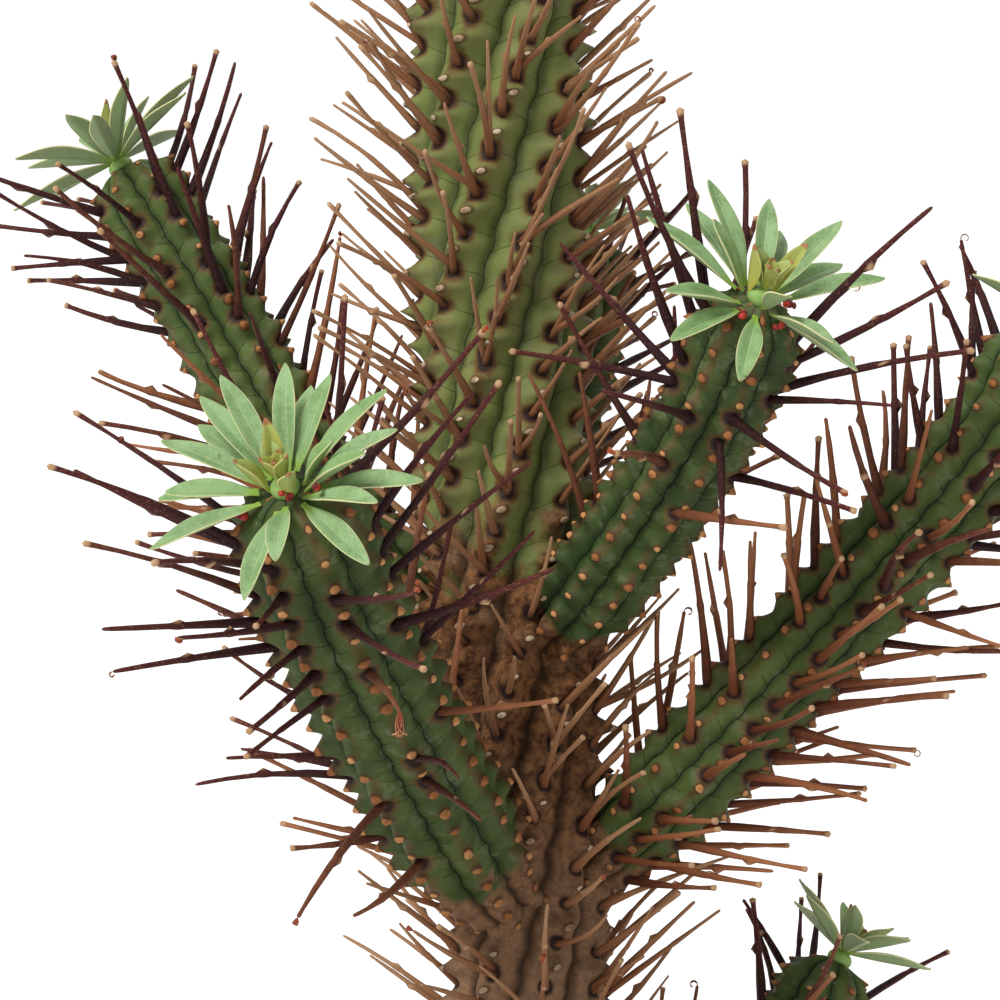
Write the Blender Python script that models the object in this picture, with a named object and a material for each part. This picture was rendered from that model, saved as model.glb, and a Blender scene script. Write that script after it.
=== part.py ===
"""A potted euphorbia: a ribbed, spiny succulent with six branches, in a plain clay pot.

Metres, +Z up, with the origin at the centre of the pot's foot. The plant is laid out from
the middle of the soil's surface, each branch from the main stem's axis and each leaf from
the tip of its stem, so a change to one size carries along what grows on it.
"""

import math
import random
from collections import namedtuple

import bmesh
import bpy
import numpy as np
from mathutils import Vector, noise

# The air between pieces that touch.
GAP = 0.0003

# Pot: a tapered clay pot with a raised band at the rim and three drain holes.
POT_HEIGHT = 0.140
POT_RIM_RADIUS = 0.080
POT_FOOT_RADIUS = 0.054
POT_WALL = 0.007
POT_FLOOR = 0.009
BAND_HEIGHT = 0.027
BAND_STEP = 0.004
POT_ROUNDING = 0.0015
DRAIN_RADIUS = 0.006
DRAIN_CIRCLE = 0.027
DRAIN_COUNT = 3
DRILL_LENGTH = 4 * POT_FLOOR
DRILL_SIDES = 16
TURNED_STEPS = 40
ROUNDED_FROM = math.radians(40)
SHARP_FROM = math.radians(50)

# Soil: fills the pot to a little below the rim, lowest at the wall.
SOIL_BELOW_RIM = 0.015
SOIL_EDGE_DROP = 0.003
SOIL_GRAIN = 0.0012
SOIL_GRAINS_PER_METRE = 90
SOIL_RINGS = 5
ROOT_DEPTH = 0.020

# Stems: eight ribs of tubercles, in rows that start at the growing tip.
RIBS = 8
COLUMNS = 2 * RIBS
GROOVE_SHARE = 0.80
RIB_STEP = 3 / 8
FIRST_ROW = 0.35
TIP_CROWDING = 0.9
DOME_SHARE = 0.85
BASE_LEAST = 0.4
SPAN_STEPS = 16

# Spines: one long spine above a share of the leaf scars, leaning further out with age. Stems
# and leaves are fenced off from them in straight lengths of a few steps each.
SPINE_RADIUS = 0.0009
SPINE_SHORTEST = 0.70
YOUNG_LEAN = 42
LEAN_AGE = 0.045
LEAN_SPREAD = 7
SIDE_SPREAD = 9
SPINE_FREE_HEIGHT = 0.050
STEM_CLEARANCE = 0.003
SPINE_CLEARANCE = 0.0020
LEAF_CLEARANCE = 0.0015
STEM_FENCE_STEPS = 4
LEAF_FENCE_STEPS = 3

# Leaves: narrow blades with a shallow fold along the middle.
LEAF_LENGTH = 0.026
LEAF_WIDTH = 0.0054
LEAF_THICKNESS = 0.0009
LEAF_WIDEST = 1.15
LEAF_FULLNESS = 0.66
LEAF_STALK_WIDTH = 0.0015
LEAF_FOLD = 0.0004
LEAF_BEND = math.radians(14)
LEAF_SECTIONS = 6
LEAF_LIFT = 0.0008
LEAF_RING_INNER = 0.0020
LEAF_RING_OUTER = 0.0065
LEAF_FLAT_LEAN = math.radians(90)
BUD_RADIUS = 0.0026
YOUNGEST_LEAF = 0.55
GOLDEN_ANGLE = 137.508

Stem = namedtuple("Stem", "route radius neck neck_length pitch twist turn spine share lean seed")
Leaf = namedtuple("Leaf", "turn lean size")
Spiral = namedtuple("Spiral", "count inner outer size")
Spine = namedtuple("Spine", "row rib lean swing reach")

# Where the main stem's axis runs, from the middle of the soil's surface.
MAIN_STEM = Stem(
    route=(
        (0, 0, 0), (0, 0, 0.030), (-0.003, 0, 0.100), (-0.008, 0, 0.195),
        (-0.010, 0, 0.290), (-0.009, 0, 0.372),
    ),
    radius=0.0200, neck=0.90, neck_length=0.240, pitch=0.0092, twist=18.0, turn=0,
    spine=0.036, share=0.80, lean=52, seed=11,
)

# Each branch leaves the main stem's axis at its own height above the soil.
BRANCH_HEIGHTS = {
    "front_branch": 0.093, "right_branch": 0.158, "left_branch": 0.140,
    "long_branch": 0.097, "low_branch": 0.024, "back_branch": 0.180,
}
BRANCHES = {
    "front_branch": Stem(
        route=(
            (0, 0, 0), (-0.011, -0.019, 0.013), (-0.028, -0.053, 0.048), (-0.043, -0.084, 0.083),
            (-0.053, -0.107, 0.114),
        ),
        radius=0.0150, neck=0.62, neck_length=0.050, pitch=0.0078, twist=0, turn=30,
        spine=0.042, share=0.55, lean=66, seed=5,
    ),
    "right_branch": Stem(
        route=(
            (0, 0, 0), (0.013, -0.013, 0.010), (0.030, -0.034, 0.035), (0.046, -0.057, 0.064),
            (0.055, -0.072, 0.089),
        ),
        radius=0.0121, neck=0.68, neck_length=0.045, pitch=0.0074, twist=0, turn=40,
        spine=0.040, share=0.55, lean=58, seed=21,
    ),
    "left_branch": Stem(
        route=(
            (0, 0, 0), (-0.014, 0.006, 0.010), (-0.054, 0.022, 0.062), (-0.080, 0.032, 0.105),
            (-0.100, 0.040, 0.136),
        ),
        radius=0.0125, neck=0.66, neck_length=0.045, pitch=0.0074, twist=0, turn=10,
        spine=0.040, share=0.7, lean=50, seed=31,
    ),
    "long_branch": Stem(
        route=(
            (0, 0, 0), (0.020, 0.001, 0.012), (0.052, -0.008, 0.045), (0.092, -0.021, 0.092),
            (0.114, -0.028, 0.121), (0.121, -0.031, 0.141),
        ),
        radius=0.0130, neck=0.66, neck_length=0.050, pitch=0.0080, twist=0, turn=15,
        spine=0.036, share=0.8, lean=48, seed=41,
    ),
    "low_branch": Stem(
        route=(
            (0, 0, 0), (0.018, 0.007, 0.007), (0.050, 0.021, 0.020), (0.068, 0.029, 0.034),
            (0.077, 0.032, 0.050),
        ),
        radius=0.0125, neck=0.66, neck_length=0.040, pitch=0.0074, twist=0, turn=5,
        spine=0.030, share=0.5, lean=50, seed=51,
    ),
    "back_branch": Stem(
        route=(
            (0, 0, 0), (0.004, 0.015, 0.010), (0.013, 0.038, 0.037), (0.018, 0.052, 0.058),
            (0.021, 0.060, 0.078),
        ),
        radius=0.0118, neck=0.68, neck_length=0.040, pitch=0.0074, twist=0, turn=25,
        spine=0.032, share=0.5, lean=50, seed=61,
    ),
}

# Spines with a place of their own, on the two nearest branches: the row from the tip, the
# rib, the degrees of lean from the stem and of swing round it, and the reach in millimetres.
# The ribs listed in WILD_RIBS grow spines by chance as well, as every rib of other stems does.
PLACED_SPINES = {
    "front_branch": (
        Spine(1, 0, 62, 0, 46), Spine(1, 1, 40, 0, 44), Spine(1, 2, 42, 0, 44), Spine(1, 3, 40, 0, 40),
        Spine(1, 4, 45, -20, 46), Spine(1, 5, 45, -10, 42), Spine(2, 0, 50, 0, 46), Spine(2, 1, 42, 0, 44),
        Spine(2, 3, 58, -10, 46), Spine(2, 4, 45, 0, 32), Spine(2, 5, 60, 20, 26), Spine(3, 0, 55, 0, 38),
        Spine(3, 3, 62, 0, 44), Spine(3, 4, 45, -10, 42), Spine(3, 5, 50, -10, 40), Spine(3, 6, 60, 20, 42),
        Spine(4, 0, 60, 10, 46), Spine(4, 4, 60, 0, 38), Spine(4, 5, 65, 0, 28), Spine(4, 6, 70, 10, 44),
        Spine(5, 0, 75, 0, 40), Spine(5, 4, 65, 0, 38), Spine(5, 5, 65, 0, 30), Spine(5, 7, 70, 10, 44),
        Spine(6, 5, 60, 0, 36), Spine(6, 6, 60, 0, 42), Spine(8, 0, 70, 0, 36), Spine(9, 7, 75, 0, 34),
        Spine(10, 4, 50, 0, 28), Spine(10, 6, 55, 10, 40), Spine(11, 4, 60, -10, 36), Spine(11, 5, 70, 0, 44),
        Spine(11, 6, 65, 10, 36), Spine(12, 5, 35, 0, 36), Spine(14, 4, 50, 10, 26), Spine(14, 5, 50, 10, 42),
    ),
    "right_branch": (
        Spine(1, 0, 45, 0, 42), Spine(1, 1, 45, 0, 40), Spine(1, 2, 30, 0, 46), Spine(1, 3, 40, -10, 46),
        Spine(1, 4, 50, 10, 38), Spine(1, 7, 25, 0, 44), Spine(2, 2, 38, 10, 44), Spine(2, 4, 65, -10, 42),
        Spine(2, 7, 40, -10, 42), Spine(3, 3, 35, -10, 44), Spine(3, 5, 70, 20, 46), Spine(3, 6, 55, -10, 36),
        Spine(3, 7, 55, -10, 46), Spine(4, 2, 80, 0, 42), Spine(4, 3, 100, -10, 38), Spine(4, 4, 65, -10, 40),
        Spine(4, 5, 105, 0, 34), Spine(6, 4, 60, 0, 34), Spine(6, 6, 60, 0, 34), Spine(7, 5, 45, 20, 42),
    ),
}
WILD_RIBS = {"front_branch": (1, 2, 3), "right_branch": (0, 1, 2)}

# Leaves that are separate pieces: degrees round the stem's tip, degrees from its axis, and
# the share of a full leaf's length. A turn of 0 is the side nearest to straight up.
LEAVES = {
    "front_leaf": (
        Leaf(45, 48, 1.0), Leaf(56, 62, 1.0), Leaf(60, 80, 0.95), Leaf(81, 70, 1.0), Leaf(94, 94, 0.95),
        Leaf(104, 78, 0.8), Leaf(134, 84, 1.0), Leaf(201, 74, 1.0), Leaf(184, 92, 1.0), Leaf(235, 98, 0.95),
        Leaf(249, 72, 1.0), Leaf(275, 86, 1.0), Leaf(290, 66, 0.95), Leaf(328, 76, 1.0), Leaf(268, 56, 0.85),
        Leaf(356, 72, 0.95), Leaf(14, 62, 1.0), Leaf(10, 86, 1.0), Leaf(290, 42, 0.55), Leaf(20, 12, 0.6),
        Leaf(110, 26, 0.45), Leaf(225, 30, 0.5),
    ),
    "right_leaf": (
        Leaf(12, 56, 1.0), Leaf(8, 80, 1.0), Leaf(40, 76, 1.0), Leaf(97, 76, 0.95), Leaf(112, 92, 1.0),
        Leaf(144, 96, 0.95), Leaf(332, 70, 1.0), Leaf(322, 86, 0.95), Leaf(297, 62, 1.0), Leaf(291, 86, 0.95),
        Leaf(266, 74, 1.0), Leaf(196, 84, 0.95), Leaf(180, 68, 0.95), Leaf(160, 44, 0.6), Leaf(45, 42, 0.7),
        Leaf(60, 14, 0.5), Leaf(285, 24, 0.55),
    ),
}
LEAFY_STEM = {"front_leaf": "front_branch", "right_leaf": "right_branch"}

# Rosettes that are one piece each: a bud with leaves spiralling out of it, from upright
# young ones to spread old ones.
ROSETTES = {
    "top_rosette": ("main_stem", Spiral(13, 25, 84, 1.0)),
    "left_rosette": ("left_branch", Spiral(14, 24, 88, 1.12)),
    "long_rosette": ("long_branch", Spiral(10, 30, 80, 0.80)),
    "low_rosette": ("low_branch", Spiral(12, 20, 78, 0.88)),
    "back_rosette": ("back_branch", Spiral(9, 30, 78, 0.85)),
}

CLAY = ("fired_clay", (0.42, 0.17, 0.09), 0.9)
EARTH = ("soil", (0.05, 0.035, 0.025), 1.0)
OLD_SKIN = ("old_stem_skin", (0.16, 0.14, 0.08), 0.8)
GREEN_SKIN = ("stem_skin", (0.06, 0.11, 0.06), 0.6)
LEAF_GREEN = ("leaf", (0.24, 0.34, 0.17), 0.5)


def clear_scene():
    for thing in list(bpy.data.objects):
        bpy.data.objects.remove(thing, do_unlink=True)


def material(finish):
    name, colour, roughness = finish
    made = bpy.data.materials.get(name)
    if made is None:
        made = bpy.data.materials.new(name)
        made.use_nodes = True
        shader = made.node_tree.nodes["Principled BSDF"]
        shader.inputs["Base Color"].default_value = (*colour, 1)
        shader.inputs["Roughness"].default_value = roughness
        shader.inputs["Metallic"].default_value = 0
        made.diffuse_color = (*colour, 1)
    return made


def make_object(name, bm, finish):
    """An object from the bmesh, shaded smooth except across sharp edges."""
    mesh = bpy.data.meshes.new(name)
    bm.to_mesh(mesh)
    bm.free()
    mesh.shade_smooth()
    mesh.set_sharp_from_angle(angle=SHARP_FROM)
    mesh.materials.append(material(finish))
    made = bpy.data.objects.new(name, mesh)
    bpy.context.scene.collection.objects.link(made)
    return made


def as_helper(thing):
    thing.hide_render = True
    thing.display_type = "WIRE"
    return thing


def cut(thing, cutter):
    boolean = thing.modifiers.new("cut by " + cutter.name, "BOOLEAN")
    boolean.operation = "DIFFERENCE"
    boolean.solver = "EXACT"
    boolean.object = cutter


def turned(profile):
    """A bmesh turned round Z from (radius, height) points, given from the bottom outwards and up."""
    bm = bmesh.new()
    points = [bm.verts.new((radius, 0, height)) for radius, height in profile]
    edges = [bm.edges.new(pair) for pair in zip(points, points[1:])]
    bmesh.ops.spin(
        bm, geom=points + edges, cent=(0, 0, 0), axis=(0, 0, 1), angle=math.tau,
        steps=TURNED_STEPS, use_merge=True, use_duplicate=False,
    )
    bmesh.ops.remove_doubles(bm, verts=bm.verts, dist=1e-6)
    bmesh.ops.recalc_face_normals(bm, faces=bm.faces)
    return bm


# ---------------------------------------------------------------- pot and soil


def pot_inner_radius(height):
    """The radius of the pot's inside at a height, between its floor and its rim."""
    share = (height - POT_FLOOR) / (POT_HEIGHT - POT_FLOOR)
    foot = POT_FOOT_RADIUS - POT_WALL
    rim = POT_RIM_RADIUS - BAND_STEP - POT_WALL
    return foot + (rim - foot) * share


def make_pot():
    body_rim = POT_RIM_RADIUS - BAND_STEP
    band_foot = POT_HEIGHT - BAND_HEIGHT
    under_band = POT_FOOT_RADIUS + (body_rim - POT_FOOT_RADIUS) * band_foot / POT_HEIGHT
    bm = turned((
        (0, 0),
        (POT_FOOT_RADIUS, 0),
        (under_band, band_foot),
        (under_band + BAND_STEP, band_foot),
        (POT_RIM_RADIUS, POT_HEIGHT),
        (pot_inner_radius(POT_HEIGHT), POT_HEIGHT),
        (pot_inner_radius(POT_FLOOR), POT_FLOOR),
        (0, POT_FLOOR),
    ))
    corners = [edge for edge in bm.edges if edge.is_convex and edge.calc_face_angle() > ROUNDED_FROM]
    bmesh.ops.bevel(
        bm, geom=corners, offset=POT_ROUNDING, offset_type="OFFSET", segments=1,
        profile=0.5, affect="EDGES", material=-1, clamp_overlap=True,
    )
    pot = make_object("pot", bm, CLAY)
    for index in range(DRAIN_COUNT):
        angle = math.tau * (index / DRAIN_COUNT + 0.5 / TURNED_STEPS)
        hole = bmesh.new()
        bmesh.ops.create_cone(
            hole, cap_ends=True, segments=DRILL_SIDES, radius1=DRAIN_RADIUS, radius2=DRAIN_RADIUS,
            depth=DRILL_LENGTH,
        )
        drill = as_helper(make_object(f"drain_drill_{index}", hole, CLAY))
        drill.location = (DRAIN_CIRCLE * math.cos(angle), DRAIN_CIRCLE * math.sin(angle), POT_FLOOR / 2)
        cut(pot, drill)
    return pot


def soil_top():
    return POT_HEIGHT - SOIL_BELOW_RIM


def make_soil(stem_cutter):
    """The soil, with a crumbly crowned top and a socket for the foot of the main stem."""
    bottom = POT_FLOOR + GAP
    edge_height = soil_top() - SOIL_EDGE_DROP
    edge = pot_inner_radius(edge_height) - GAP
    rings = [
        (edge * (1 - share), edge_height + SOIL_EDGE_DROP * math.sin(share * math.pi / 2))
        for share in (index / SOIL_RINGS for index in range(1, SOIL_RINGS + 1))
    ]
    bm = turned(((0, bottom), (pot_inner_radius(bottom) - GAP, bottom), (edge, edge_height), *rings))
    for vert in bm.verts:
        from_axis = vert.co.xy.length
        if vert.co.z > edge_height and MAIN_STEM.radius < from_axis:
            vert.co.z += SOIL_GRAIN * noise.noise(vert.co * SOIL_GRAINS_PER_METRE)
    soil = make_object("soil", bm, EARTH)
    cut(soil, stem_cutter)
    return soil


# ---------------------------------------------------------------- stems


class Axis:
    """A smooth curve through a stem's route, with two side directions that don't twist."""

    def __init__(self, route):
        knots = np.array(route, float)
        knots = np.vstack((2 * knots[0] - knots[1], knots, 2 * knots[-1] - knots[-2]))
        share = (np.arange(SPAN_STEPS) / SPAN_STEPS)[:, None]
        spans = []
        for before, start, end, after in zip(knots, knots[1:], knots[2:], knots[3:]):
            bend = 2 * before - 5 * start + 4 * end - after
            ease = 3 * start - before - 3 * end + after
            spans.append(start + share * ((end - before) + share * (bend + share * ease)) / 2)
        self.place = np.vstack((*spans, knots[-2]))
        steps = np.linalg.norm(np.diff(self.place, axis=0), axis=1)
        self.along = np.concatenate(([0], np.cumsum(steps)))
        self.length = self.along[-1]
        self.ahead = np.gradient(self.place, self.along, axis=0)
        self.ahead /= np.linalg.norm(self.ahead, axis=1)[:, None]
        side = np.array((1.0, 0.0, 0.0))
        sides = []
        for ahead in self.ahead:
            side = side - ahead * (side @ ahead)
            side = side / np.linalg.norm(side)
            sides.append(side)
        self.side = np.array(sides)
        self.front = np.cross(self.ahead, self.side)

    def at(self, distance, values):
        return np.array([np.interp(distance, self.along, column) for column in values.T])

    def frame(self, distance):
        """Place, side, front and ahead at a distance from the stem's base."""
        return [self.at(distance, values) for values in (self.place, self.side, self.front, self.ahead)]


def from_tip(stem, row):
    """The distance from the tip down to a row of tubercles: rows crowd together at the tip."""
    return stem.pitch * (row - TIP_CROWDING * (1 - math.exp(-row / TIP_CROWDING)))


def row_of(column, index):
    """The row number of a column's tubercle: each rib is a share of a row ahead of the next."""
    rib = column / 2
    start = (math.floor(rib) * RIB_STEP) % 1
    if column % 2:
        following = ((math.floor(rib) + 1) % RIBS * RIB_STEP) % 1
        start = (start + following) / 2
    return index + FIRST_ROW + start


def row_count(stem, axis):
    count = 1
    while axis.length - from_tip(stem, count + FIRST_ROW + 1) > BASE_LEAST * stem.pitch:
        count += 1
    return count


def stem_radius(stem, axis, distance):
    """The radius over the ribs: a narrow neck at the base, and a dome at the tip."""
    grown = min(distance / stem.neck_length, 1)
    grown = grown * grown * (3 - 2 * grown)
    dome = DOME_SHARE * stem.radius
    up_dome = max(distance - (axis.length - dome), 0) / dome
    return stem.radius * (stem.neck + (1 - stem.neck) * grown) * math.sqrt(max(1 - up_dome**2, 0))


def outward(stem, axis, distance, column):
    _, side, front, _ = axis.frame(distance)
    angle = math.tau * column / COLUMNS + math.radians(stem.turn) + stem.twist * distance
    return side * math.cos(angle) + front * math.sin(angle)


def skin_point(stem, axis, distance, column, extra=0.0):
    radius = stem_radius(stem, axis, distance) * (GROOVE_SHARE if column % 2 else 1) + extra
    return axis.frame(distance)[0] + outward(stem, axis, distance, column) * radius


def stem_bmesh(stem, axis, extra=0.0):
    """The ribbed stem as one closed skin, and its crest vertices by (row, column)."""
    rows = row_count(stem, axis)
    rings = rows + 2
    bm = bmesh.new()
    bmesh.ops.create_uvsphere(bm, u_segments=COLUMNS, v_segments=rings, radius=1)
    crests = {}
    for vert in bm.verts:
        ring = round(math.acos(max(-1, min(1, vert.co.z))) / math.pi * rings)
        column = round(math.atan2(vert.co.y, vert.co.x) / math.tau * COLUMNS) % COLUMNS
        if ring == 0:
            place, _, _, ahead = axis.frame(axis.length)
            vert.co = Vector(place + ahead * extra)
        elif ring == rings:
            vert.co = Vector(axis.place[0] - axis.ahead[0] * extra)
        elif ring == rings - 1:
            base = skin_point(stem, axis, 0, column, extra) - axis.ahead[0] * extra
            vert.co = Vector(base)
        else:
            distance = axis.length - from_tip(stem, row_of(column, ring - 1))
            vert.co = Vector(skin_point(stem, axis, distance, column, extra))
            crests[ring - 1, column] = vert
    return bm, crests


def segment_gaps(start, end, starts, ends):
    """The shortest distances from one straight segment to each of several others."""
    own, theirs, apart = end - start, ends - starts, start - starts
    own_square, their_square = own @ own, (theirs**2).sum(axis=1)
    both, own_apart, their_apart = theirs @ own, apart @ own, (theirs * apart).sum(axis=1)
    spread = np.maximum(own_square * their_square - both**2, 1e-15)
    share = np.clip((both * their_apart - own_apart * their_square) / spread, 0, 1)
    their_share = np.clip((both * share + their_apart) / their_square, 0, 1)
    share = np.clip((both * their_share - own_apart) / own_square, 0, 1)
    nearest = start + share[:, None] * own - starts - their_share[:, None] * theirs
    return np.linalg.norm(nearest, axis=1)


def lengths(points, steps):
    """Straight lengths along a curve, of that many steps each, as pairs of ends."""
    return zip(points[::steps], points[steps::steps])


class Thicket:
    """What a new spine must stay clear of: rods, each a segment with a radius and an owner."""

    def __init__(self):
        self.starts, self.ends, self.radii, self.owners = [], [], [], []

    def add(self, start, end, radius, owner):
        self.starts.append(start)
        self.ends.append(end)
        self.radii.append(radius)
        self.owners.append(owner)

    def clear_of(self, start, end, owner):
        others = np.array([name != owner for name in self.owners])
        gaps = segment_gaps(start, end, np.array(self.starts), np.array(self.ends))
        return not np.any(others & (gaps < np.array(self.radii)))


def spine_tip(stem, axis, distance, column, spine):
    """Where a spine ends that grows above a leaf scar."""
    _, _, _, ahead = axis.frame(distance)
    out = outward(stem, axis, distance, column)
    across = np.cross(ahead, out)
    lean, swing = math.radians(spine.lean), math.radians(spine.swing)
    heading = ahead * math.cos(lean) + (out * math.cos(swing) + across * math.sin(swing)) * math.sin(lean)
    return skin_point(stem, axis, distance, column) + heading * spine.reach / 1000


def chance_spine(stem, age, row, rib, chance):
    """A spine by chance: upright on young growth, and leaning out further down the stem."""
    lean = stem.lean + (YOUNG_LEAN - stem.lean) * math.exp(-age / LEAN_AGE)
    lean += chance.gauss(0, LEAN_SPREAD)
    swing = chance.gauss(0, SIDE_SPREAD)
    reach = stem.spine * chance.uniform(SPINE_SHORTEST, 1) * 1000
    return Spine(row, rib, lean, swing, reach), chance.random() < stem.share


def grow_spines(name, stem, axis, bm, crests, thicket, lowest):
    """Pulls pointed spines out of the crest vertices, where they stay clear of all else."""
    chance = random.Random(stem.seed)
    placed = {(spine.row, spine.rib): spine for spine in PLACED_SPINES.get(name, ())}
    wild = WILD_RIBS.get(name, range(RIBS))
    for row in range(1, row_count(stem, axis)):
        for rib in range(RIBS):
            distance = axis.length - from_tip(stem, row_of(2 * rib, row))
            spine, wanted = chance_spine(stem, axis.length - distance, row, rib, chance)
            spine = placed.get((row, rib), spine)
            base = skin_point(stem, axis, distance, 2 * rib)
            tip = spine_tip(stem, axis, distance, 2 * rib, spine)
            wanted = (row, rib) in placed or (wanted and rib in wild)
            if not wanted or min(base[2], tip[2]) < lowest or not thicket.clear_of(base, tip, name):
                continue
            thicket.add(base, tip, SPINE_CLEARANCE, name + " spine")
            foot = bmesh.ops.bevel(
                bm, geom=[crests[row, 2 * rib]], offset=SPINE_RADIUS, offset_type="OFFSET",
                segments=1, profile=0.5, affect="VERTICES", material=-1,
            )
            poked = bmesh.ops.poke(bm, faces=foot["faces"])
            poked["verts"][0].co = Vector(tip)


def in_triangles(bm):
    """Splits every face the same way on a stem and on its cutter, so that they stay a gap apart."""
    bmesh.ops.triangulate(bm, faces=bm.faces, quad_method="FIXED", ngon_method="BEAUTY")
    return bm


# ---------------------------------------------------------------- leaves


def leaf_line(stem, axis, leaf, size, in_bud=False):
    """Points along a leaf's midrib with, at each, its heading and its width's direction."""
    place, _, _, ahead = axis.frame(axis.length)
    up = np.array((0.0, 0.0, 1.0)) - ahead * ahead[2]
    up /= np.linalg.norm(up)
    turn, lean = math.radians(leaf.turn), math.radians(leaf.lean)
    out = up * math.cos(turn) + np.cross(ahead, up) * math.sin(turn)
    flatness = min(lean / LEAF_FLAT_LEAN, 1)
    ring = LEAF_RING_INNER + (LEAF_RING_OUTER - LEAF_RING_INNER) * flatness
    sunk = DOME_SHARE * stem.radius * (1 - math.sqrt(1 - (ring / stem.radius) ** 2))
    point = place + out * ring + ahead * (LEAF_LIFT - sunk)
    if in_bud:
        point = place + ahead * BUD_RADIUS
    across = np.cross(ahead, out)
    step = size / LEAF_SECTIONS
    line = []
    for index in range(LEAF_SECTIONS + 1):
        angle = lean + LEAF_BEND * (index / LEAF_SECTIONS - 0.5)
        heading = ahead * math.cos(angle) + out * math.sin(angle)
        line.append((point, heading, across))
        point = point + heading * step
    return line


def leaf_half_width(share):
    """Half the blade's width at a share of its length: widest past the middle, pointed at the end."""
    blade = math.sin(math.pi * share**LEAF_WIDEST) ** LEAF_FULLNESS * LEAF_WIDTH / 2
    return max(blade, LEAF_STALK_WIDTH / 2 * (1 - share))


def leaf_bmesh(stem, axis, leaf, size, in_bud=False):
    line = leaf_line(stem, axis, leaf, size, in_bud)
    bm = bmesh.new()
    bmesh.ops.create_uvsphere(bm, u_segments=4, v_segments=LEAF_SECTIONS, radius=1)
    for vert in bm.verts:
        section = round(math.acos(max(-1, min(1, -vert.co.z))) / math.pi * LEAF_SECTIONS)
        quarter = round(math.atan2(vert.co.y, vert.co.x) / math.tau * 4) % 4
        point, heading, across = line[section]
        if 0 < section < LEAF_SECTIONS:
            face_up = np.cross(heading, across)
            half = leaf_half_width(section / LEAF_SECTIONS)
            offsets = (
                across * half,
                face_up * (LEAF_THICKNESS / 2 - LEAF_FOLD),
                -across * half,
                -face_up * (LEAF_THICKNESS / 2 + LEAF_FOLD),
            )
            point = point + offsets[quarter]
        vert.co = Vector(point)
    return bm


def make_rosette(name, stem, axis, spiral):
    """A bud and the leaves spiralling out of it, joined into one piece."""
    leaves = bpy.data.collections.new(name + "_leaves")
    bpy.context.scene.collection.children.link(leaves)
    for index in range(spiral.count):
        blade = leaf_bmesh(stem, axis, *spiral_leaf(spiral, index), in_bud=True)
        helper = as_helper(make_object(f"{name}_blade_{index}", blade, LEAF_GREEN))
        bpy.context.scene.collection.objects.unlink(helper)
        leaves.objects.link(helper)
    place, _, _, ahead = axis.frame(axis.length)
    bud = bmesh.new()
    bmesh.ops.create_icosphere(bud, subdivisions=2, radius=BUD_RADIUS)
    bmesh.ops.translate(bud, verts=bud.verts, vec=Vector(place + ahead * (BUD_RADIUS + GAP)))
    rosette = make_object(name, bud, LEAF_GREEN)
    join = rosette.modifiers.new("leaves", "BOOLEAN")
    join.operation = "UNION"
    join.solver = "EXACT"
    join.operand_type = "COLLECTION"
    join.collection = leaves
    return rosette


def spiral_leaf(spiral, index):
    """A rosette's leaf and its length: the first is the youngest, upright and half grown."""
    share = index / (spiral.count - 1)
    lean = spiral.inner + (spiral.outer - spiral.inner) * math.sqrt(share)
    grown = spiral.size * (YOUNGEST_LEAF + (1 - YOUNGEST_LEAF) * min(2 * share, 1))
    return Leaf(GOLDEN_ANGLE * index, lean, grown), LEAF_LENGTH * grown


def fence_leaf(thicket, stem, axis, leaf, size):
    """Adds a leaf to what spines stay clear of."""
    line = leaf_line(stem, axis, leaf, size)
    for (start, _, _), (end, _, _) in lengths(line, LEAF_FENCE_STEPS):
        thicket.add(start, end, LEAF_WIDTH / 2 + LEAF_CLEARANCE, "leaf")


# ---------------------------------------------------------------- the whole plant


def moved(route, start):
    return [tuple(np.add(point, start)) for point in route]


def main():
    clear_scene()
    make_pot()

    planted = (0, 0, soil_top())
    below_soil = (0, 0, -ROOT_DEPTH)
    main_axis = Axis(moved((below_soil, *MAIN_STEM.route), planted))
    stems = {"main_stem": (MAIN_STEM, main_axis)}
    for name, branch in BRANCHES.items():
        start = main_axis.frame(ROOT_DEPTH + BRANCH_HEIGHTS[name])[0]
        stems[name] = (branch, Axis(moved(branch.route, start)))

    thicket = Thicket()
    for name, (stem, axis) in stems.items():
        for start, end in lengths(axis.place, STEM_FENCE_STEPS):
            thicket.add(start, end, stem.radius + STEM_CLEARANCE, name)

    for group, leaves in LEAVES.items():
        stem, axis = stems[LEAFY_STEM[group]]
        for index, leaf in enumerate(leaves):
            size = LEAF_LENGTH * leaf.size
            make_object(f"{group}_{index + 1:02d}", leaf_bmesh(stem, axis, leaf, size), LEAF_GREEN)
            fence_leaf(thicket, stem, axis, leaf, size)
    for name, (stem_name, spiral) in ROSETTES.items():
        stem, axis = stems[stem_name]
        make_rosette(name, stem, axis, spiral)
        for index in range(spiral.count):
            fence_leaf(thicket, stem, axis, *spiral_leaf(spiral, index))

    cutter_mesh, _ = stem_bmesh(MAIN_STEM, main_axis, GAP)
    stem_cutter = as_helper(make_object("main_stem_cutter", in_triangles(cutter_mesh), OLD_SKIN))
    make_soil(stem_cutter)
    for name, (stem, axis) in stems.items():
        lowest = POT_HEIGHT + STEM_CLEARANCE
        if name == "main_stem":
            lowest = soil_top() + SPINE_FREE_HEIGHT
        bm, crests = stem_bmesh(stem, axis)
        grow_spines(name, stem, axis, bm, crests, thicket, lowest)
        made = make_object(name, in_triangles(bm), OLD_SKIN if name == "main_stem" else GREEN_SKIN)
        if name != "main_stem":
            cut(made, stem_cutter)


main()
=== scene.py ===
"""The looks of a potted euphorbia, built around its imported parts.

Metres, +Z up. Stems, leaves and rosettes follow the same growth rules as the part, so each
fine piece lies where its part's node is, and the spines are read from the nodes themselves.
"""

import math
import random
from collections import namedtuple

import bmesh
import bpy
import numpy as np
from mathutils import Matrix, Vector


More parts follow.
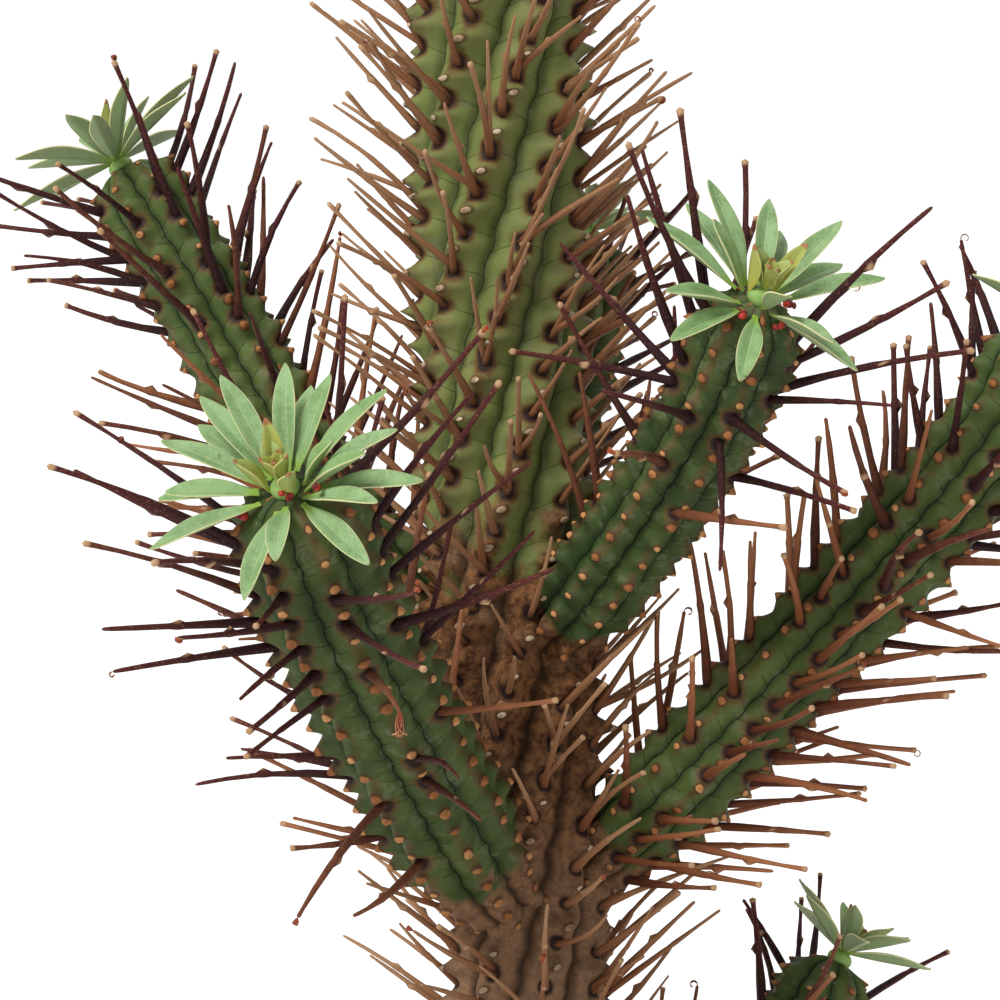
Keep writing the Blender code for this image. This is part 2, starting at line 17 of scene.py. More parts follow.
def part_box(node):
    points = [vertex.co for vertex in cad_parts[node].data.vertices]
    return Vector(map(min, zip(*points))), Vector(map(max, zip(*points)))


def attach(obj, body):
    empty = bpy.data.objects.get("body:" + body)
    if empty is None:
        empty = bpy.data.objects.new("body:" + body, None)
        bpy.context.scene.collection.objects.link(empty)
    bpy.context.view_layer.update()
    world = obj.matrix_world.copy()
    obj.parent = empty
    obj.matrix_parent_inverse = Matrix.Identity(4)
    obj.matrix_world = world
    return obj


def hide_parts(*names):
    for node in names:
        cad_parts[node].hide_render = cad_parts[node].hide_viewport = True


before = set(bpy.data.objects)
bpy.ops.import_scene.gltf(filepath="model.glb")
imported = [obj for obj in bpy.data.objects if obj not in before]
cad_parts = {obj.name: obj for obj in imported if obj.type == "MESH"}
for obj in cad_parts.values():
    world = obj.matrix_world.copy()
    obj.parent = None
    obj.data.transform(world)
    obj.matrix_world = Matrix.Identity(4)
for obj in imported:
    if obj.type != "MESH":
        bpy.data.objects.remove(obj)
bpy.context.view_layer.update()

# ---------------------------------------------------------------- sizes shared with the part

POT_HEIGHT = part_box("pot")[1].z
POT_RIM_RADIUS = 0.080
POT_FOOT_RADIUS = 0.054
POT_WALL = 0.007
POT_FLOOR = 0.009
BAND_HEIGHT = 0.027
BAND_STEP = 0.004
DRAIN_RADIUS = 0.006
DRAIN_CIRCLE = 0.027
DRAIN_COUNT = 3
DRAIN_TURN = 0.5 / 40
DRILL_SIDES = 40
SOIL_BELOW_RIM = 0.015
SOIL_EDGE_DROP = 0.003
SOIL_TOP = POT_HEIGHT - SOIL_BELOW_RIM
ROOT_DEPTH = 0.020

RIBS = 8
RIB_STEP = 3 / 8
FIRST_ROW = 0.35
TIP_CROWDING = 0.9
DOME_SHARE = 0.85
SPAN_STEPS = 32

LEAF_LENGTH = 0.026
LEAF_WIDTH = 0.0054
LEAF_WIDEST = 1.15
LEAF_FULLNESS = 0.66
LEAF_STALK_WIDTH = 0.0015
LEAF_BEND = 14
LEAF_LIFT = 0.0008
LEAF_RING_INNER = 0.0020
LEAF_RING_OUTER = 0.0065
LEAF_FLAT_LEAN = 90
BUD_RADIUS = 0.0026
YOUNGEST_LEAF = 0.55
GOLDEN_ANGLE = 137.508

Stem = namedtuple("Stem", "route radius neck neck_length pitch twist turn columns bark")
Leaf = namedtuple("Leaf", "turn lean size")
Spiral = namedtuple("Spiral", "count inner outer size")
Spine = namedtuple("Spine", "root tip distance row rib")

# Bark covers a stem up to the first of its two distances from the base and is gone by the second.
MAIN_STEM = Stem(
    route=(
        (0, 0, 0), (0, 0, 0.030), (-0.003, 0, 0.100), (-0.008, 0, 0.195),
        (-0.010, 0, 0.290), (-0.009, 0, 0.372),
    ),
    radius=0.0200, neck=0.90, neck_length=0.240, pitch=0.0092, twist=18.0, turn=0,
    columns=152, bark=(0.15, 0.26),
)
BRANCH_HEIGHTS = {
    "front_branch": 0.093, "right_branch": 0.158, "left_branch": 0.140,
    "long_branch": 0.097, "low_branch": 0.024, "back_branch": 0.180,
}
BRANCHES = {
    "front_branch": Stem(
        route=(
            (0, 0, 0), (-0.011, -0.019, 0.013), (-0.028, -0.053, 0.048), (-0.043, -0.084, 0.083),
            (-0.053, -0.107, 0.114),
        ),
        radius=0.0150, neck=0.62, neck_length=0.050, pitch=0.0078, twist=0, turn=30,
        columns=160, bark=(0.012, 0.060),
    ),
    "right_branch": Stem(
        route=(
            (0, 0, 0), (0.013, -0.013, 0.010), (0.030, -0.034, 0.035), (0.046, -0.057, 0.064),
            (0.055, -0.072, 0.089),
        ),
        radius=0.0121, neck=0.68, neck_length=0.045, pitch=0.0074, twist=0, turn=40,
        columns=120, bark=(0.010, 0.040),
    ),
    "left_branch": Stem(
        route=(
            (0, 0, 0), (-0.014, 0.006, 0.010), (-0.054, 0.022, 0.062), (-0.080, 0.032, 0.105),
            (-0.100, 0.040, 0.136),
        ),
        radius=0.0125, neck=0.66, neck_length=0.045, pitch=0.0074, twist=0, turn=10,
        columns=112, bark=(0.010, 0.045),
    ),
    "long_branch": Stem(
        route=(
            (0, 0, 0), (0.020, 0.001, 0.012), (0.052, -0.008, 0.045), (0.092, -0.021, 0.092),
            (0.114, -0.028, 0.121), (0.121, -0.031, 0.141),
        ),
        radius=0.0130, neck=0.66, neck_length=0.050, pitch=0.0080, twist=0, turn=15,
        columns=112, bark=(0.010, 0.045),
    ),
    "low_branch": Stem(
        route=(
            (0, 0, 0), (0.018, 0.007, 0.007), (0.050, 0.021, 0.020), (0.068, 0.029, 0.034),
            (0.077, 0.032, 0.050),
        ),
        radius=0.0125, neck=0.66, neck_length=0.040, pitch=0.0074, twist=0, turn=5,
        columns=112, bark=(0.012, 0.045),
    ),
    "back_branch": Stem(
        route=(
            (0, 0, 0), (0.004, 0.015, 0.010), (0.013, 0.038, 0.037), (0.018, 0.052, 0.058),
            (0.021, 0.060, 0.078),
        ),
        radius=0.0118, neck=0.68, neck_length=0.040, pitch=0.0074, twist=0, turn=25,
        columns=112, bark=(0.010, 0.040),
    ),
}

# Leaves that are separate pieces: degrees round the stem's tip, degrees from its axis, and
# the share of a full leaf's length. A turn of 0 is the side nearest to straight up.
LEAVES = {
    "front_leaf": (
        Leaf(45, 48, 1.0), Leaf(56, 62, 1.0), Leaf(60, 80, 0.95), Leaf(81, 70, 1.0),
        Leaf(94, 94, 0.95), Leaf(104, 78, 0.8), Leaf(134, 84, 1.0), Leaf(201, 74, 1.0),
        Leaf(184, 92, 1.0), Leaf(235, 98, 0.95), Leaf(249, 72, 1.0), Leaf(275, 86, 1.0),
        Leaf(290, 66, 0.95), Leaf(328, 76, 1.0), Leaf(268, 56, 0.85), Leaf(356, 72, 0.95),
        Leaf(14, 62, 1.0), Leaf(10, 86, 1.0), Leaf(290, 42, 0.55), Leaf(20, 12, 0.6),
        Leaf(110, 26, 0.45), Leaf(225, 30, 0.5),
    ),
    "right_leaf": (
        Leaf(12, 56, 1.0), Leaf(8, 80, 1.0), Leaf(40, 76, 1.0), Leaf(97, 76, 0.95),
        Leaf(112, 92, 1.0), Leaf(144, 96, 0.95), Leaf(332, 70, 1.0), Leaf(322, 86, 0.95),
        Leaf(297, 62, 1.0), Leaf(291, 86, 0.95), Leaf(266, 74, 1.0), Leaf(196, 84, 0.95),
        Leaf(180, 68, 0.95), Leaf(160, 44, 0.6), Leaf(45, 42, 0.7), Leaf(60, 14, 0.5),
        Leaf(285, 24, 0.55),
    ),
}
LEAFY_STEM = {"front_leaf": "front_branch", "right_leaf": "right_branch"}
ROSETTES = {
    "top_rosette": ("main_stem", Spiral(13, 25, 84, 1.0)),
    "left_rosette": ("left_branch", Spiral(14, 24, 88, 1.12)),
    "long_rosette": ("long_branch", Spiral(10, 30, 80, 0.80)),
    "low_rosette": ("low_branch", Spiral(12, 20, 78, 0.88)),
    "back_rosette": ("back_branch", Spiral(9, 30, 78, 0.85)),
}

# ---------------------------------------------------------------- sizes of the fine detail

# Skin: grooves between the ribs, and along each rib tubercles that end in a leaf scar.
# Widths are shares of a rib and lengths are shares of a row.
RINGS_PER_ROW = 12
GROOVE_SHARE = 0.82
RIB_SWAY = 0.035
RIB_FLANK = 1.6
RIB_CREST = 0.9
SCAR_BELOW = 0.42
TUBERCLE_RISE = 0.185
TUBERCLE_WIDTH = 0.20
TUBERCLE_LENGTH = 0.23
UNEVEN_RISE = (0.65, 1.35)
MOST_ROWS = 200
AXIL_DIP = 0.045
AXIL_WIDTH = 0.22
AXIL_LENGTH = 0.20
SCAR_RISE = 0.0006
SCAR_WIDTH = 0.075
SCAR_LENGTH = 0.10
DENT_DEPTH = 0.00038
DENT_GRAIN = 0.016
BARK_DEPTH = 0.0007
BARK_GRAIN = 0.011
NEAR_SPINE_REACH = 0.0022
SKIN_TONE = {
    "main_stem": 0.6, "front_branch": 0.40, "right_branch": 0.12, "left_branch": 0.90,
    "long_branch": 0.85, "low_branch": 0.60, "back_branch": 0.5,
}

# Spines: rods of six sides. The bract and the knob are at fixed shares of the length.
SPINE_SIDES = 6
SPINE_SHARES = (0, 0, 0.10, 0.30, 0.52, 0.57, 0.62, 0.80, 0.94, 0.985, 1)
BRACT_RING = 5
BRACT_FLARE = 2.1
KNOB_RING = 9
KNOB_NECK = 1.5
SPINE_BASE_RADIUS = 0.00128
SPINE_END_RADIUS = 0.00044
KNOB_RADIUS = 0.00085
SPINE_SINK = 0.0022
SPINE_STANDS_OUT = 0.006
SPINE_BOW = 0.020
SPINE_GIRTHS = (0.85, 1.15)
SPINE_RIPPLE = 0.12
ROW_SAMPLES = 2000
SPINE_AGES = {"front_branch": 0.17, "left_branch": 0.14, "right_branch": 0.13}
SPINE_AGES_ELSEWHERE = 0.09
OLDER = {"main_stem": 0.5}
KNOBBED = {"main_stem": 0.3}
KNOBBED_ELSEWHERE = 0.6
SPINE_GIRTH = {"front_branch": 0.92, "main_stem": 0.8}
EXTRA_SPINE_LEAN = (40, 70)
EXTRA_SPINE_REACH = (0.020, 0.036)
EXTRA_SPINE_SHARE = 0.5
EXTRA_SPINE_SWING = 0.35
EXTRA_SPINE_STEP = 0.0015

# Dried bracts at the tips of spines, and small red buds by the rosettes. A bud's place is
# degrees round the stem's tip, degrees from its axis, and the distance from the tip.
CURL_SIDES = 8
CURL_RINGS = 18
CURL_SHARE = 0.14
CURL_RADIUS = 0.0009
CURL_WIDTH = 0.0012
CURL_SWEEP = 270
CURL_THICKNESS = 0.0003
CURL_CLOSING = 0.3
CURL_SIZES = (0.7, 1.2)
HUSK_SPINE = (6, 6)
HUSK_TURNS = (-15, 195, 265)
HUSK_SPLAY = math.radians(44)
HUSK_RADIUS = 0.0036
HUSK_WIDTH = 0.0019
HUSK_SWEEP = 112
UP = np.array((0.0, 0.0, 1.0))
BUDS = {
    "front_branch": ((247, 66, 0.0122), (130, 95, 0.0108), (216, 66, 0.0060)),
    "right_branch": ((234, 80, 0.0066), (122, 92, 0.0086), (184, 94, 0.0088)),
}
BUD_GRAINS = 5
BUD_GRAIN_RADIUS = 0.00085
BUD_SPREAD = 0.6

# Leaves: channelled blades, thick along the middle and with a rounded edge.
BLADE_SIDES = 16
BLADE_RINGS = 26
BLADE_THICKNESS = 0.0010
BLADE_CHANNEL = 0.0017
BLADE_MIDRIB = 0.00012
BLADE_KEEL = 0.00022
BLADE_MIDRIB_WIDTH = 0.0004
BEND_SPREAD = 5
TWIST_SPREAD = 0.14
YOUNG_UP_TO = 18
GROWN_FROM = 46
GROWING_POINT = 0.0033
GROWING_POINT_HEIGHT = 0.0024

# The young leaves of a leafy tip: each one's turn, lean and size are a start and a step.
YOUNG_TURN = 70
YOUNG_LEAN, YOUNG_LEAN_STEP = 6, 5
YOUNG_SIZE, YOUNG_SIZE_STEP = 0.22, 0.035
YOUNG_ON_BRANCHES = 6
YOUNG_IN_ROSETTES = 5

POT_STEPS = 144
POT_CORNER = math.radians(40)
POT_EDGE_RADIUS = 0.0018
SOIL_STEPS = 144
SOIL_RINGS = 44
SOIL_GAP = 0.0003
SOIL_SMOOTH_EDGE = 0.006
CRUMBS = ((0.0009, 0.012, 21), (0.0006, 0.0045, 22))
GRIT_COUNT = 520
GRIT_SMALLEST = 0.0008
GRIT_SPREAD = 0.0019

# ---------------------------------------------------------------- sizes of the studio

FLOOR_SIZE = 30
SOFT_LIGHT = 0.48
WHITE_GROUND = 1.05
LAMPS = {"key": ((-0.75, -0.90, 1.55), 24, 3.1), "back": ((0.4, 1.1, 1.5), 40, 0.7)}
LAMPS_AIM = (0, -0.02, 0.33)
CAMERA_PLACE = (-0.0095, -0.90, 0.399)
CAMERA_TILT = 85
CAMERA_LENS = 133
CAMERA_CLIP = 0.02

# ---------------------------------------------------------------- meshes


def read_points(mesh):
    flat = np.empty(len(mesh.vertices) * 3)
    mesh.vertices.foreach_get("co", flat)
    return flat.reshape(-1, 3)


def write_points(mesh, points):
    mesh.vertices.foreach_set("co", points.ravel())
    mesh.update()


def write_attribute(mesh, name, values):
    attribute = mesh.attributes.get(name) or mesh.attributes.new(name, "FLOAT", "POINT")
    attribute.data.foreach_set("value", values.astype(np.float32))


def mesh_of(name, bm):
    mesh = bpy.data.meshes.new(name)
    bm.to_mesh(mesh)
    bm.free()
    return mesh


def weld(bm):
    bmesh.ops.remove_doubles(bm, verts=bm.verts, dist=1e-6)


def add_object(name, data):
    made = bpy.data.objects.new(name, data)
    bpy.context.scene.collection.objects.link(made)
    return made


def smoothstep(low, high, values):
    share = np.clip((values - low) / (high - low), 0, 1)
    return share * share * (3 - 2 * share)


def ripple(points, wavelength, seed):
    """A smooth uneven field from about -1 to 1 over the points: a few crossed waves."""
    chance = np.random.default_rng(seed)
    field = np.zeros(len(points))
    for _ in range(7):
        heading = chance.normal(size=3)
        heading *= math.tau / wavelength / np.linalg.norm(heading) * chance.uniform(0.6, 1.6)
        field += np.sin(points @ heading + chance.uniform(0, math.tau))
    return field / 3


def piece(name, mesh, finish, slot, *stands_for):
    """A finished piece that rides on the plant, with its material and the nodes it stands for."""
    mesh.materials.append(finish)
    mesh.shade_smooth()
    made = add_object(name, mesh)
    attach(made, "root")
    if stands_for:
        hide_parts(*stands_for)
    return made


class Clump:
    """Copies of one small shape in a single mesh, each with its own points and attributes."""

    def __init__(self, shape):
        self.shape = mesh_of("shape", shape)
        self.points = read_points(self.shape)
        self.all = bmesh.new()

    def add(self, points, **attributes):
        write_points(self.shape, points)
        for name, values in attributes.items():
            write_attribute(self.shape, name, np.broadcast_to(values, len(points)))
        self.all.from_mesh(self.shape)

    def mesh(self, name):
        bmesh.ops.recalc_face_normals(self.all, faces=self.all.faces)
        bpy.data.meshes.remove(self.shape)
        return mesh_of(name, self.all)


def round_clump(sides, rings):
    shape = bmesh.new()
    bmesh.ops.create_uvsphere(shape, u_segments=sides, v_segments=rings, radius=1)
    return Clump(shape)


def bead_clump(subdivisions):
    shape = bmesh.new()
    bmesh.ops.create_icosphere(shape, subdivisions=subdivisions, radius=1)
    return Clump(shape)


def unrolled(sphere):
    """How far along a unit sphere's axis each point is, from 0 to 1, and its angle round it."""
    return (1 + sphere[:, 2]) / 2, np.arctan2(sphere[:, 1], sphere[:, 0])


# ---------------------------------------------------------------- growth rules


class Axis:
    """A smooth curve through a stem's route, with two side directions that don't twist."""

    def __init__(self, route):
        knots = np.array(route, float)
        knots = np.vstack((2 * knots[0] - knots[1], knots, 2 * knots[-1] - knots[-2]))
        share = (np.arange(SPAN_STEPS) / SPAN_STEPS)[:, None]
        spans = []
        for before, start, end, after in zip(knots, knots[1:], knots[2:], knots[3:]):
            bend = 2 * before - 5 * start + 4 * end - after
            ease = 3 * start - before - 3 * end + after
            spans.append(start + share * ((end - before) + share * (bend + share * ease)) / 2)
        self.place = np.vstack((*spans, knots[-2]))
        steps = np.linalg.norm(np.diff(self.place, axis=0), axis=1)
        self.along = np.concatenate(([0], np.cumsum(steps)))
        self.length = self.along[-1]
        self.ahead = np.gradient(self.place, self.along, axis=0)
        self.ahead /= np.linalg.norm(self.ahead, axis=1)[:, None]
        side = np.array((1.0, 0.0, 0.0))
        sides = []
        for ahead in self.ahead:
            side = side - ahead * (side @ ahead)
            side = side / np.linalg.norm(side)
            sides.append(side)
        self.side = np.array(sides)
        self.front = np.cross(self.ahead, self.side)

    def frames(self, distances):
        """Place, side, front and ahead at each distance from the stem's base."""
        return [
            np.stack([np.interp(distances, self.along, column) for column in values.T], axis=-1)
            for values in (self.place, self.side, self.front, self.ahead)
        ]

    def frame_at(self, distance):
        return [values[0] for values in self.frames(np.array([distance]))]

    def out_from_tip(self, turn):
        """The tip, the way ahead there, and the way out at a turn from the side nearest to up."""
        place, _, _, ahead = self.frame_at(self.length)
        up = UP - ahead * ahead[2]
        up /= np.linalg.norm(up)
        return place, ahead, up * math.cos(turn) + np.cross(ahead, up) * math.sin(turn)


def from_tip(stem, row):
    """The distance from the tip down to a row of tubercles: rows crowd together at the tip."""
    return stem.pitch * (row - TIP_CROWDING * (1 - np.exp(-row / TIP_CROWDING)))


def stem_radius(stem, axis, distance):
    """The radius over the ribs: a narrow neck at the base, and a dome at the tip."""
    grown = smoothstep(0, stem.neck_length, distance)
    dome = DOME_SHARE * stem.radius
    up_dome = np.maximum(distance - (axis.length - dome), 0) / dome
    below_dome = stem.radius * (stem.neck + (1 - stem.neck) * grown)
    return below_dome * np.sqrt(np.maximum(1 - up_dome**2, 0))


def centred(rows):
    """A number of rows brought to within half a row of 0. Works on arrays and on Values."""
    return (rows + 0.5) % 1 - 0.5


def below_spine(rib, down):
    """How many rows a place is below the nearest spine's root on its rib, from -0.5 to 0.5."""
    return centred(down - FIRST_ROW - rib * RIB_STEP)


def rib_places(around, down):
    """How far across its rib each place is, from -0.5 to 0.5, and how far below its spine."""
    left = np.floor(around)
    share = around - left
    full = [
        0.5 + RIB_SWAY * np.cos(math.tau * (below_spine(rib, down) - SCAR_BELOW))
        for rib in (left, left + 1)
    ]
    edge = full[0] / (full[0] + full[1])
    on_left = share < edge
    across = np.where(on_left, share / edge, (share - 1) / (1 - edge)) / 2
    return across, below_spine(np.where(on_left, left, left + 1), down)


# ---------------------------------------------------------------- stems


def make_skin(name, stem, axis, spines, finish, slot):
    """A stem's skin: a fine grid rolled round its axis, with ribs, tubercles, scars and bark."""
    rows = axis.length / stem.pitch + TIP_CROWDING
    rings = round(rows * RINGS_PER_ROW)
    bm = bmesh.new()
    bmesh.ops.create_grid(bm, x_segments=stem.columns, y_segments=rings, size=0.5)
    mesh = mesh_of(name + "_skin", bm)
    flat = read_points(mesh) + 0.5
    around = flat[:, 0] * RIBS
    down = np.minimum(flat[:, 1] * rings / (rings - 1), 1) * rows
    distance = axis.length - from_tip(stem, down)
    across, below = rib_places(around, down)

    full = stem_radius(stem, axis, distance)
    round_rib = np.maximum(1 - np.abs(2 * across) ** RIB_FLANK, 0) ** RIB_CREST
    from_scar = centred(below - SCAR_BELOW)
    rib, row = (np.floor(around + 0.5) % RIBS).astype(int), np.floor(down).astype(int)
    rises = np.random.default_rng(len(name)).uniform(*UNEVEN_RISE, (RIBS, MOST_ROWS))
    along_rib = (np.abs(from_scar) / TUBERCLE_LENGTH) ** 1.5
    tubercle = np.exp(-((across / TUBERCLE_WIDTH) ** 2) - along_rib) * rises[rib, row]
    axil = np.exp(-((across / AXIL_WIDTH) ** 2) - (below / AXIL_LENGTH) ** 2)
    scar = np.exp(-(((across / SCAR_WIDTH) ** 2 + (from_scar / SCAR_LENGTH) ** 2) ** 2))
    relief = GROOVE_SHARE + (1 - GROOVE_SHARE) * round_rib
    relief = relief + TUBERCLE_RISE * tubercle - AXIL_DIP * axil
    radius = full * relief + SCAR_RISE * scar * smoothstep(0, stem.radius / 2, full)
    radius[flat[:, 1] > 1 - 0.5 / rings] = 0

    place, side, front, _ = axis.frames(distance)
    angle = around * math.tau / RIBS + math.radians(stem.turn) + stem.twist * distance
    outward = side * np.cos(angle)[:, None] + front * np.sin(angle)[:, None]
    bark = 1 - smoothstep(stem.bark[0], stem.bark[1], distance)
    skin = place + outward * radius[:, None]
    dents = DENT_DEPTH * ripple(skin, DENT_GRAIN, 3)
    uneven = dents + BARK_DEPTH * bark * ripple(skin, BARK_GRAIN, 8)
    skin += outward * (uneven * smoothstep(0, stem.radius, radius))[:, None]

    # How close each point is to a spine's root, for the darker skin round the spines.
    stain = np.zeros(len(skin))
    for spine in spines:
        near = np.abs(distance - spine.distance) < 3 * NEAR_SPINE_REACH
        gaps = np.linalg.norm(skin[near] - spine.root, axis=1)
        stain[near] = np.maximum(stain[near], np.exp(-((gaps / NEAR_SPINE_REACH) ** 2)))

    write_points(mesh, skin)
    write_attribute(mesh, "bark", bark)
    write_attribute(mesh, "tone", np.full(len(skin), SKIN_TONE[name]))
    write_attribute(mesh, "stain", stain)
    corners = np.empty(len(mesh.loops), int)
    mesh.loops.foreach_get("vertex_index", corners)
    rows_map = mesh.uv_layers.new(name="rows")
    rows_map.data.foreach_set("uv", np.stack((around, down), axis=1)[corners].ravel())

    bm = bmesh.new()
    bm.from_mesh(mesh)
    bpy.data.meshes.remove(mesh)
    weld(bm)
    bmesh.ops.recalc_face_normals(bm, faces=bm.faces)
    piece(name + "_skin", mesh_of(name + "_skin", bm), finish, slot, name)


def find_spines(name, stem, axis):
    """Every spine of a stem's node: its root, its tip, and the row and rib that it grows from."""
    bm = bmesh.new()
    bm.from_mesh(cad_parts[name].data)
    weld(bm)
    rows = np.linspace(0, axis.length / stem.pitch + 1, ROW_SAMPLES)
    spines = []
    for vert in bm.verts:
        tip = np.array(vert.co)
        if np.linalg.norm(axis.place - tip, axis=1).min() < stem.radius + SPINE_STANDS_OUT:
            continue
        root = np.mean([edge.other_vert(vert).co for edge in vert.link_edges], axis=0)
        nearest = np.linalg.norm(axis.place - root, axis=1).argmin()
        distance = axis.along[nearest]
        out = root - axis.place[nearest]
        angle = math.atan2(out @ axis.front[nearest], out @ axis.side[nearest])
        angle -= math.radians(stem.turn) + stem.twist * distance
        rib = round(angle * RIBS / math.tau) % RIBS
        down = np.interp(axis.length - distance, from_tip(stem, rows), rows)
        row = round(down - FIRST_ROW - rib * RIB_STEP % 1)
        spines.append(Spine(root, tip, distance, row, rib))
    bm.free()
    return sorted(spines, key=lambda spine: (spine.row, spine.rib))


def more_spines(stem, axis, spines, others):
    """Finer spines besides those of a stem's node, clear of the other stems."""
    chance = random.Random(17)
    taken = {(spine.row, spine.rib) for spine in spines}
    rows = range(2, int(axis.length / stem.pitch) - 8)
    added = []
    for row, rib in ((row, rib) for row in rows for rib in range(RIBS)):
        if (row, rib) in taken and chance.random() > EXTRA_SPINE_SHARE:
            continue
        distance = axis.length - from_tip(stem, row + FIRST_ROW + rib * RIB_STEP % 1)
        place, side, front, ahead = axis.frame_at(distance)
        angle = rib * math.tau / RIBS + math.radians(stem.turn) + stem.twist * distance
        angle_out = angle + chance.gauss(0, EXTRA_SPINE_SWING)
        outward = side * math.cos(angle) + front * math.sin(angle)
        swung = side * math.cos(angle_out) + front * math.sin(angle_out)
        lean = math.radians(chance.uniform(*EXTRA_SPINE_LEAN))
        root = place + outward * stem_radius(stem, axis, distance) + ahead * EXTRA_SPINE_STEP
        reach = chance.uniform(*EXTRA_SPINE_REACH)
        tip = root + (ahead * math.cos(lean) + swung * math.sin(lean)) * reach
        gaps = [
            np.linalg.norm(other_axis.place - point, axis=1).min() - other.radius
            for other, other_axis in others for point in (tip, (root + tip) / 2)
        ]
        if min(gaps) > SPINE_STANDS_OUT / 2:
            added.append(Spine(root, tip, distance, row, rib))
    return added


def make_spines(name, axis, spines, finish, slot):
    """A stem's spines: rods that taper, with a bract part way up and a dry knob on some tips."""
    chance = random.Random(name)
    last_ring = len(SPINE_SHARES) - 1
    clump = round_clump(SPINE_SIDES, last_ring)
    rings = np.arccos(np.clip(-clump.points[:, 2], -1, 1)) / math.pi * last_ring
    rings = np.round(rings).astype(int)
    angle = unrolled(clump.points)[1]
    share = np.array(SPINE_SHARES)[rings]
    poles = (rings == 0) | (rings == last_ring)
    ages = SPINE_AGES.get(name, SPINE_AGES_ELSEWHERE)
    knobbed = KNOBBED.get(name, KNOBBED_ELSEWHERE)
    for spine in spines:
        reach = spine.tip - spine.root
        length = np.linalg.norm(reach)
        ahead = reach / length
        side = np.cross(ahead, (0.31, 0.52, 0.79))
        side /= np.linalg.norm(side)
        front = np.cross(ahead, side)
        knob = chance.random() < knobbed
        bract = chance.randrange(SPINE_SIDES)
        girth = chance.uniform(*SPINE_GIRTHS) * SPINE_GIRTH.get(name, 1)
        thick = SPINE_BASE_RADIUS + (SPINE_END_RADIUS - SPINE_BASE_RADIUS) * share
        thick = thick * girth * (1 + SPINE_RIPPLE * np.sin(rings * 2.4 + chance.uniform(0, 6)))
        edges = np.round(angle / math.tau * SPINE_SIDES) % SPINE_SIDES
        on_bract = (rings == BRACT_RING) & (edges == bract)
        thick = np.where(on_bract, thick * BRACT_FLARE, thick)
        if knob:
            thick = np.where(rings == KNOB_RING, KNOB_RADIUS * girth, thick)
            thick = np.where(rings == KNOB_RING - 1, SPINE_END_RADIUS * KNOB_NECK, thick)
        thick = np.where(poles, 0, thick)
        bow = 4 * share * (1 - share) * length * SPINE_BOW
        bow_side, bow_front = chance.gauss(0, 1), chance.gauss(0, 1)
        start = spine.root - ahead * SPINE_SINK
        middle = start + (spine.tip - start) * share[:, None]
        middle = middle + (side * bow_side + front * bow_front) * bow[:, None]
        rim = side * np.cos(angle)[:, None] + front * np.sin(angle)[:, None]
        tan = np.where(on_bract, 0.9, 0) + np.where(knob & (rings >= KNOB_RING), 1, 0)
        clump.add(
            middle + rim * thick[:, None], along=share, tan=tan, chance=chance.random(),
            age=min((axis.length - spine.distance) / ages, 1) + OLDER.get(name, 0),
        )
    piece(name + "_spines", clump.mesh(name + "_spines"), finish, slot)


def add_curl(clump, tip, heading, lift, radius, width, sweep, chance):
    """A dried bract: a thin strip that leaves the tip along heading and curls towards lift."""
    share, roll = unrolled(clump.points)
    angle = math.radians(sweep) * share
    closing = radius * (1 - CURL_CLOSING * share)
    outward = heading * np.sin(angle)[:, None] - lift * np.cos(angle)[:, None]
    middle = tip + lift * radius + outward * closing[:, None]
    across = np.cross(heading, lift)
    width = np.cos(roll) * np.sin(math.pi * np.clip(share, 0.02, 1)) ** 0.4 * width / 2
    thick = np.sin(roll) * CURL_THICKNESS / 2
    clump.add(
        middle + across * width[:, None] + outward * thick[:, None],
        along=share, edge=np.abs(np.cos(roll)), chance=chance.random(),
    )


def make_curls(name, spines, finish, slot):
    """Dried bracts at some spines' tips, and on the nearest branch one large hanging husk."""
    chance = random.Random(name + "_curls")
    clump = round_clump(CURL_SIDES, CURL_RINGS)
    for spine in spines:
        ahead = (spine.tip - spine.root) / np.linalg.norm(spine.tip - spine.root)
        if name == "front_branch" and (spine.row, spine.rib) == HUSK_SPINE:
            for turn in map(math.radians, HUSK_TURNS):
                side = np.array((math.cos(turn), math.sin(turn), 0.0))
                heading = side * math.sin(HUSK_SPLAY) - UP * math.cos(HUSK_SPLAY)
                lift = -side * math.cos(HUSK_SPLAY) - UP * math.sin(HUSK_SPLAY)
                shape = (HUSK_RADIUS, HUSK_WIDTH, HUSK_SWEEP)
                add_curl(clump, spine.tip, heading, lift, *shape, chance)
        elif chance.random() < CURL_SHARE:
            lift = np.cross(ahead, [chance.gauss(0, 1) for _ in range(3)])
            lift /= np.linalg.norm(lift)
            size = chance.uniform(*CURL_SIZES)
            shape = (CURL_RADIUS * size, CURL_WIDTH * size, CURL_SWEEP)
            add_curl(clump, spine.tip, ahead, lift, *shape, chance)
    piece(name + "_curls", clump.mesh(name + "_curls"), finish, slot)


def make_buds(name, axis, finish):
    """Small red buds in clusters round a branch's leafy tip."""
    chance = random.Random(name + "_buds")
    clump = bead_clump(2)
    for turn, lean, reach in BUDS[name]:
        place, ahead, out = axis.out_from_tip(math.radians(turn))
        lean = math.radians(lean)
        middle = place + (ahead * math.cos(lean) + out * math.sin(lean)) * reach
        for _ in range(BUD_GRAINS):
            size = BUD_GRAIN_RADIUS * chance.uniform(0.6, 1.1)
            offset = np.array([chance.gauss(0, BUD_SPREAD) * BUD_GRAIN_RADIUS for _ in range(3)])
            stretch = np.array([chance.uniform(0.7, 1.3) for _ in range(3)])
            clump.add(middle + offset + clump.points * stretch * size, chance=chance.random())
    piece(name + "_buds", clump.mesh(name + "_buds"), finish, "leaf")


# ---------------------------------------------------------------- leaves


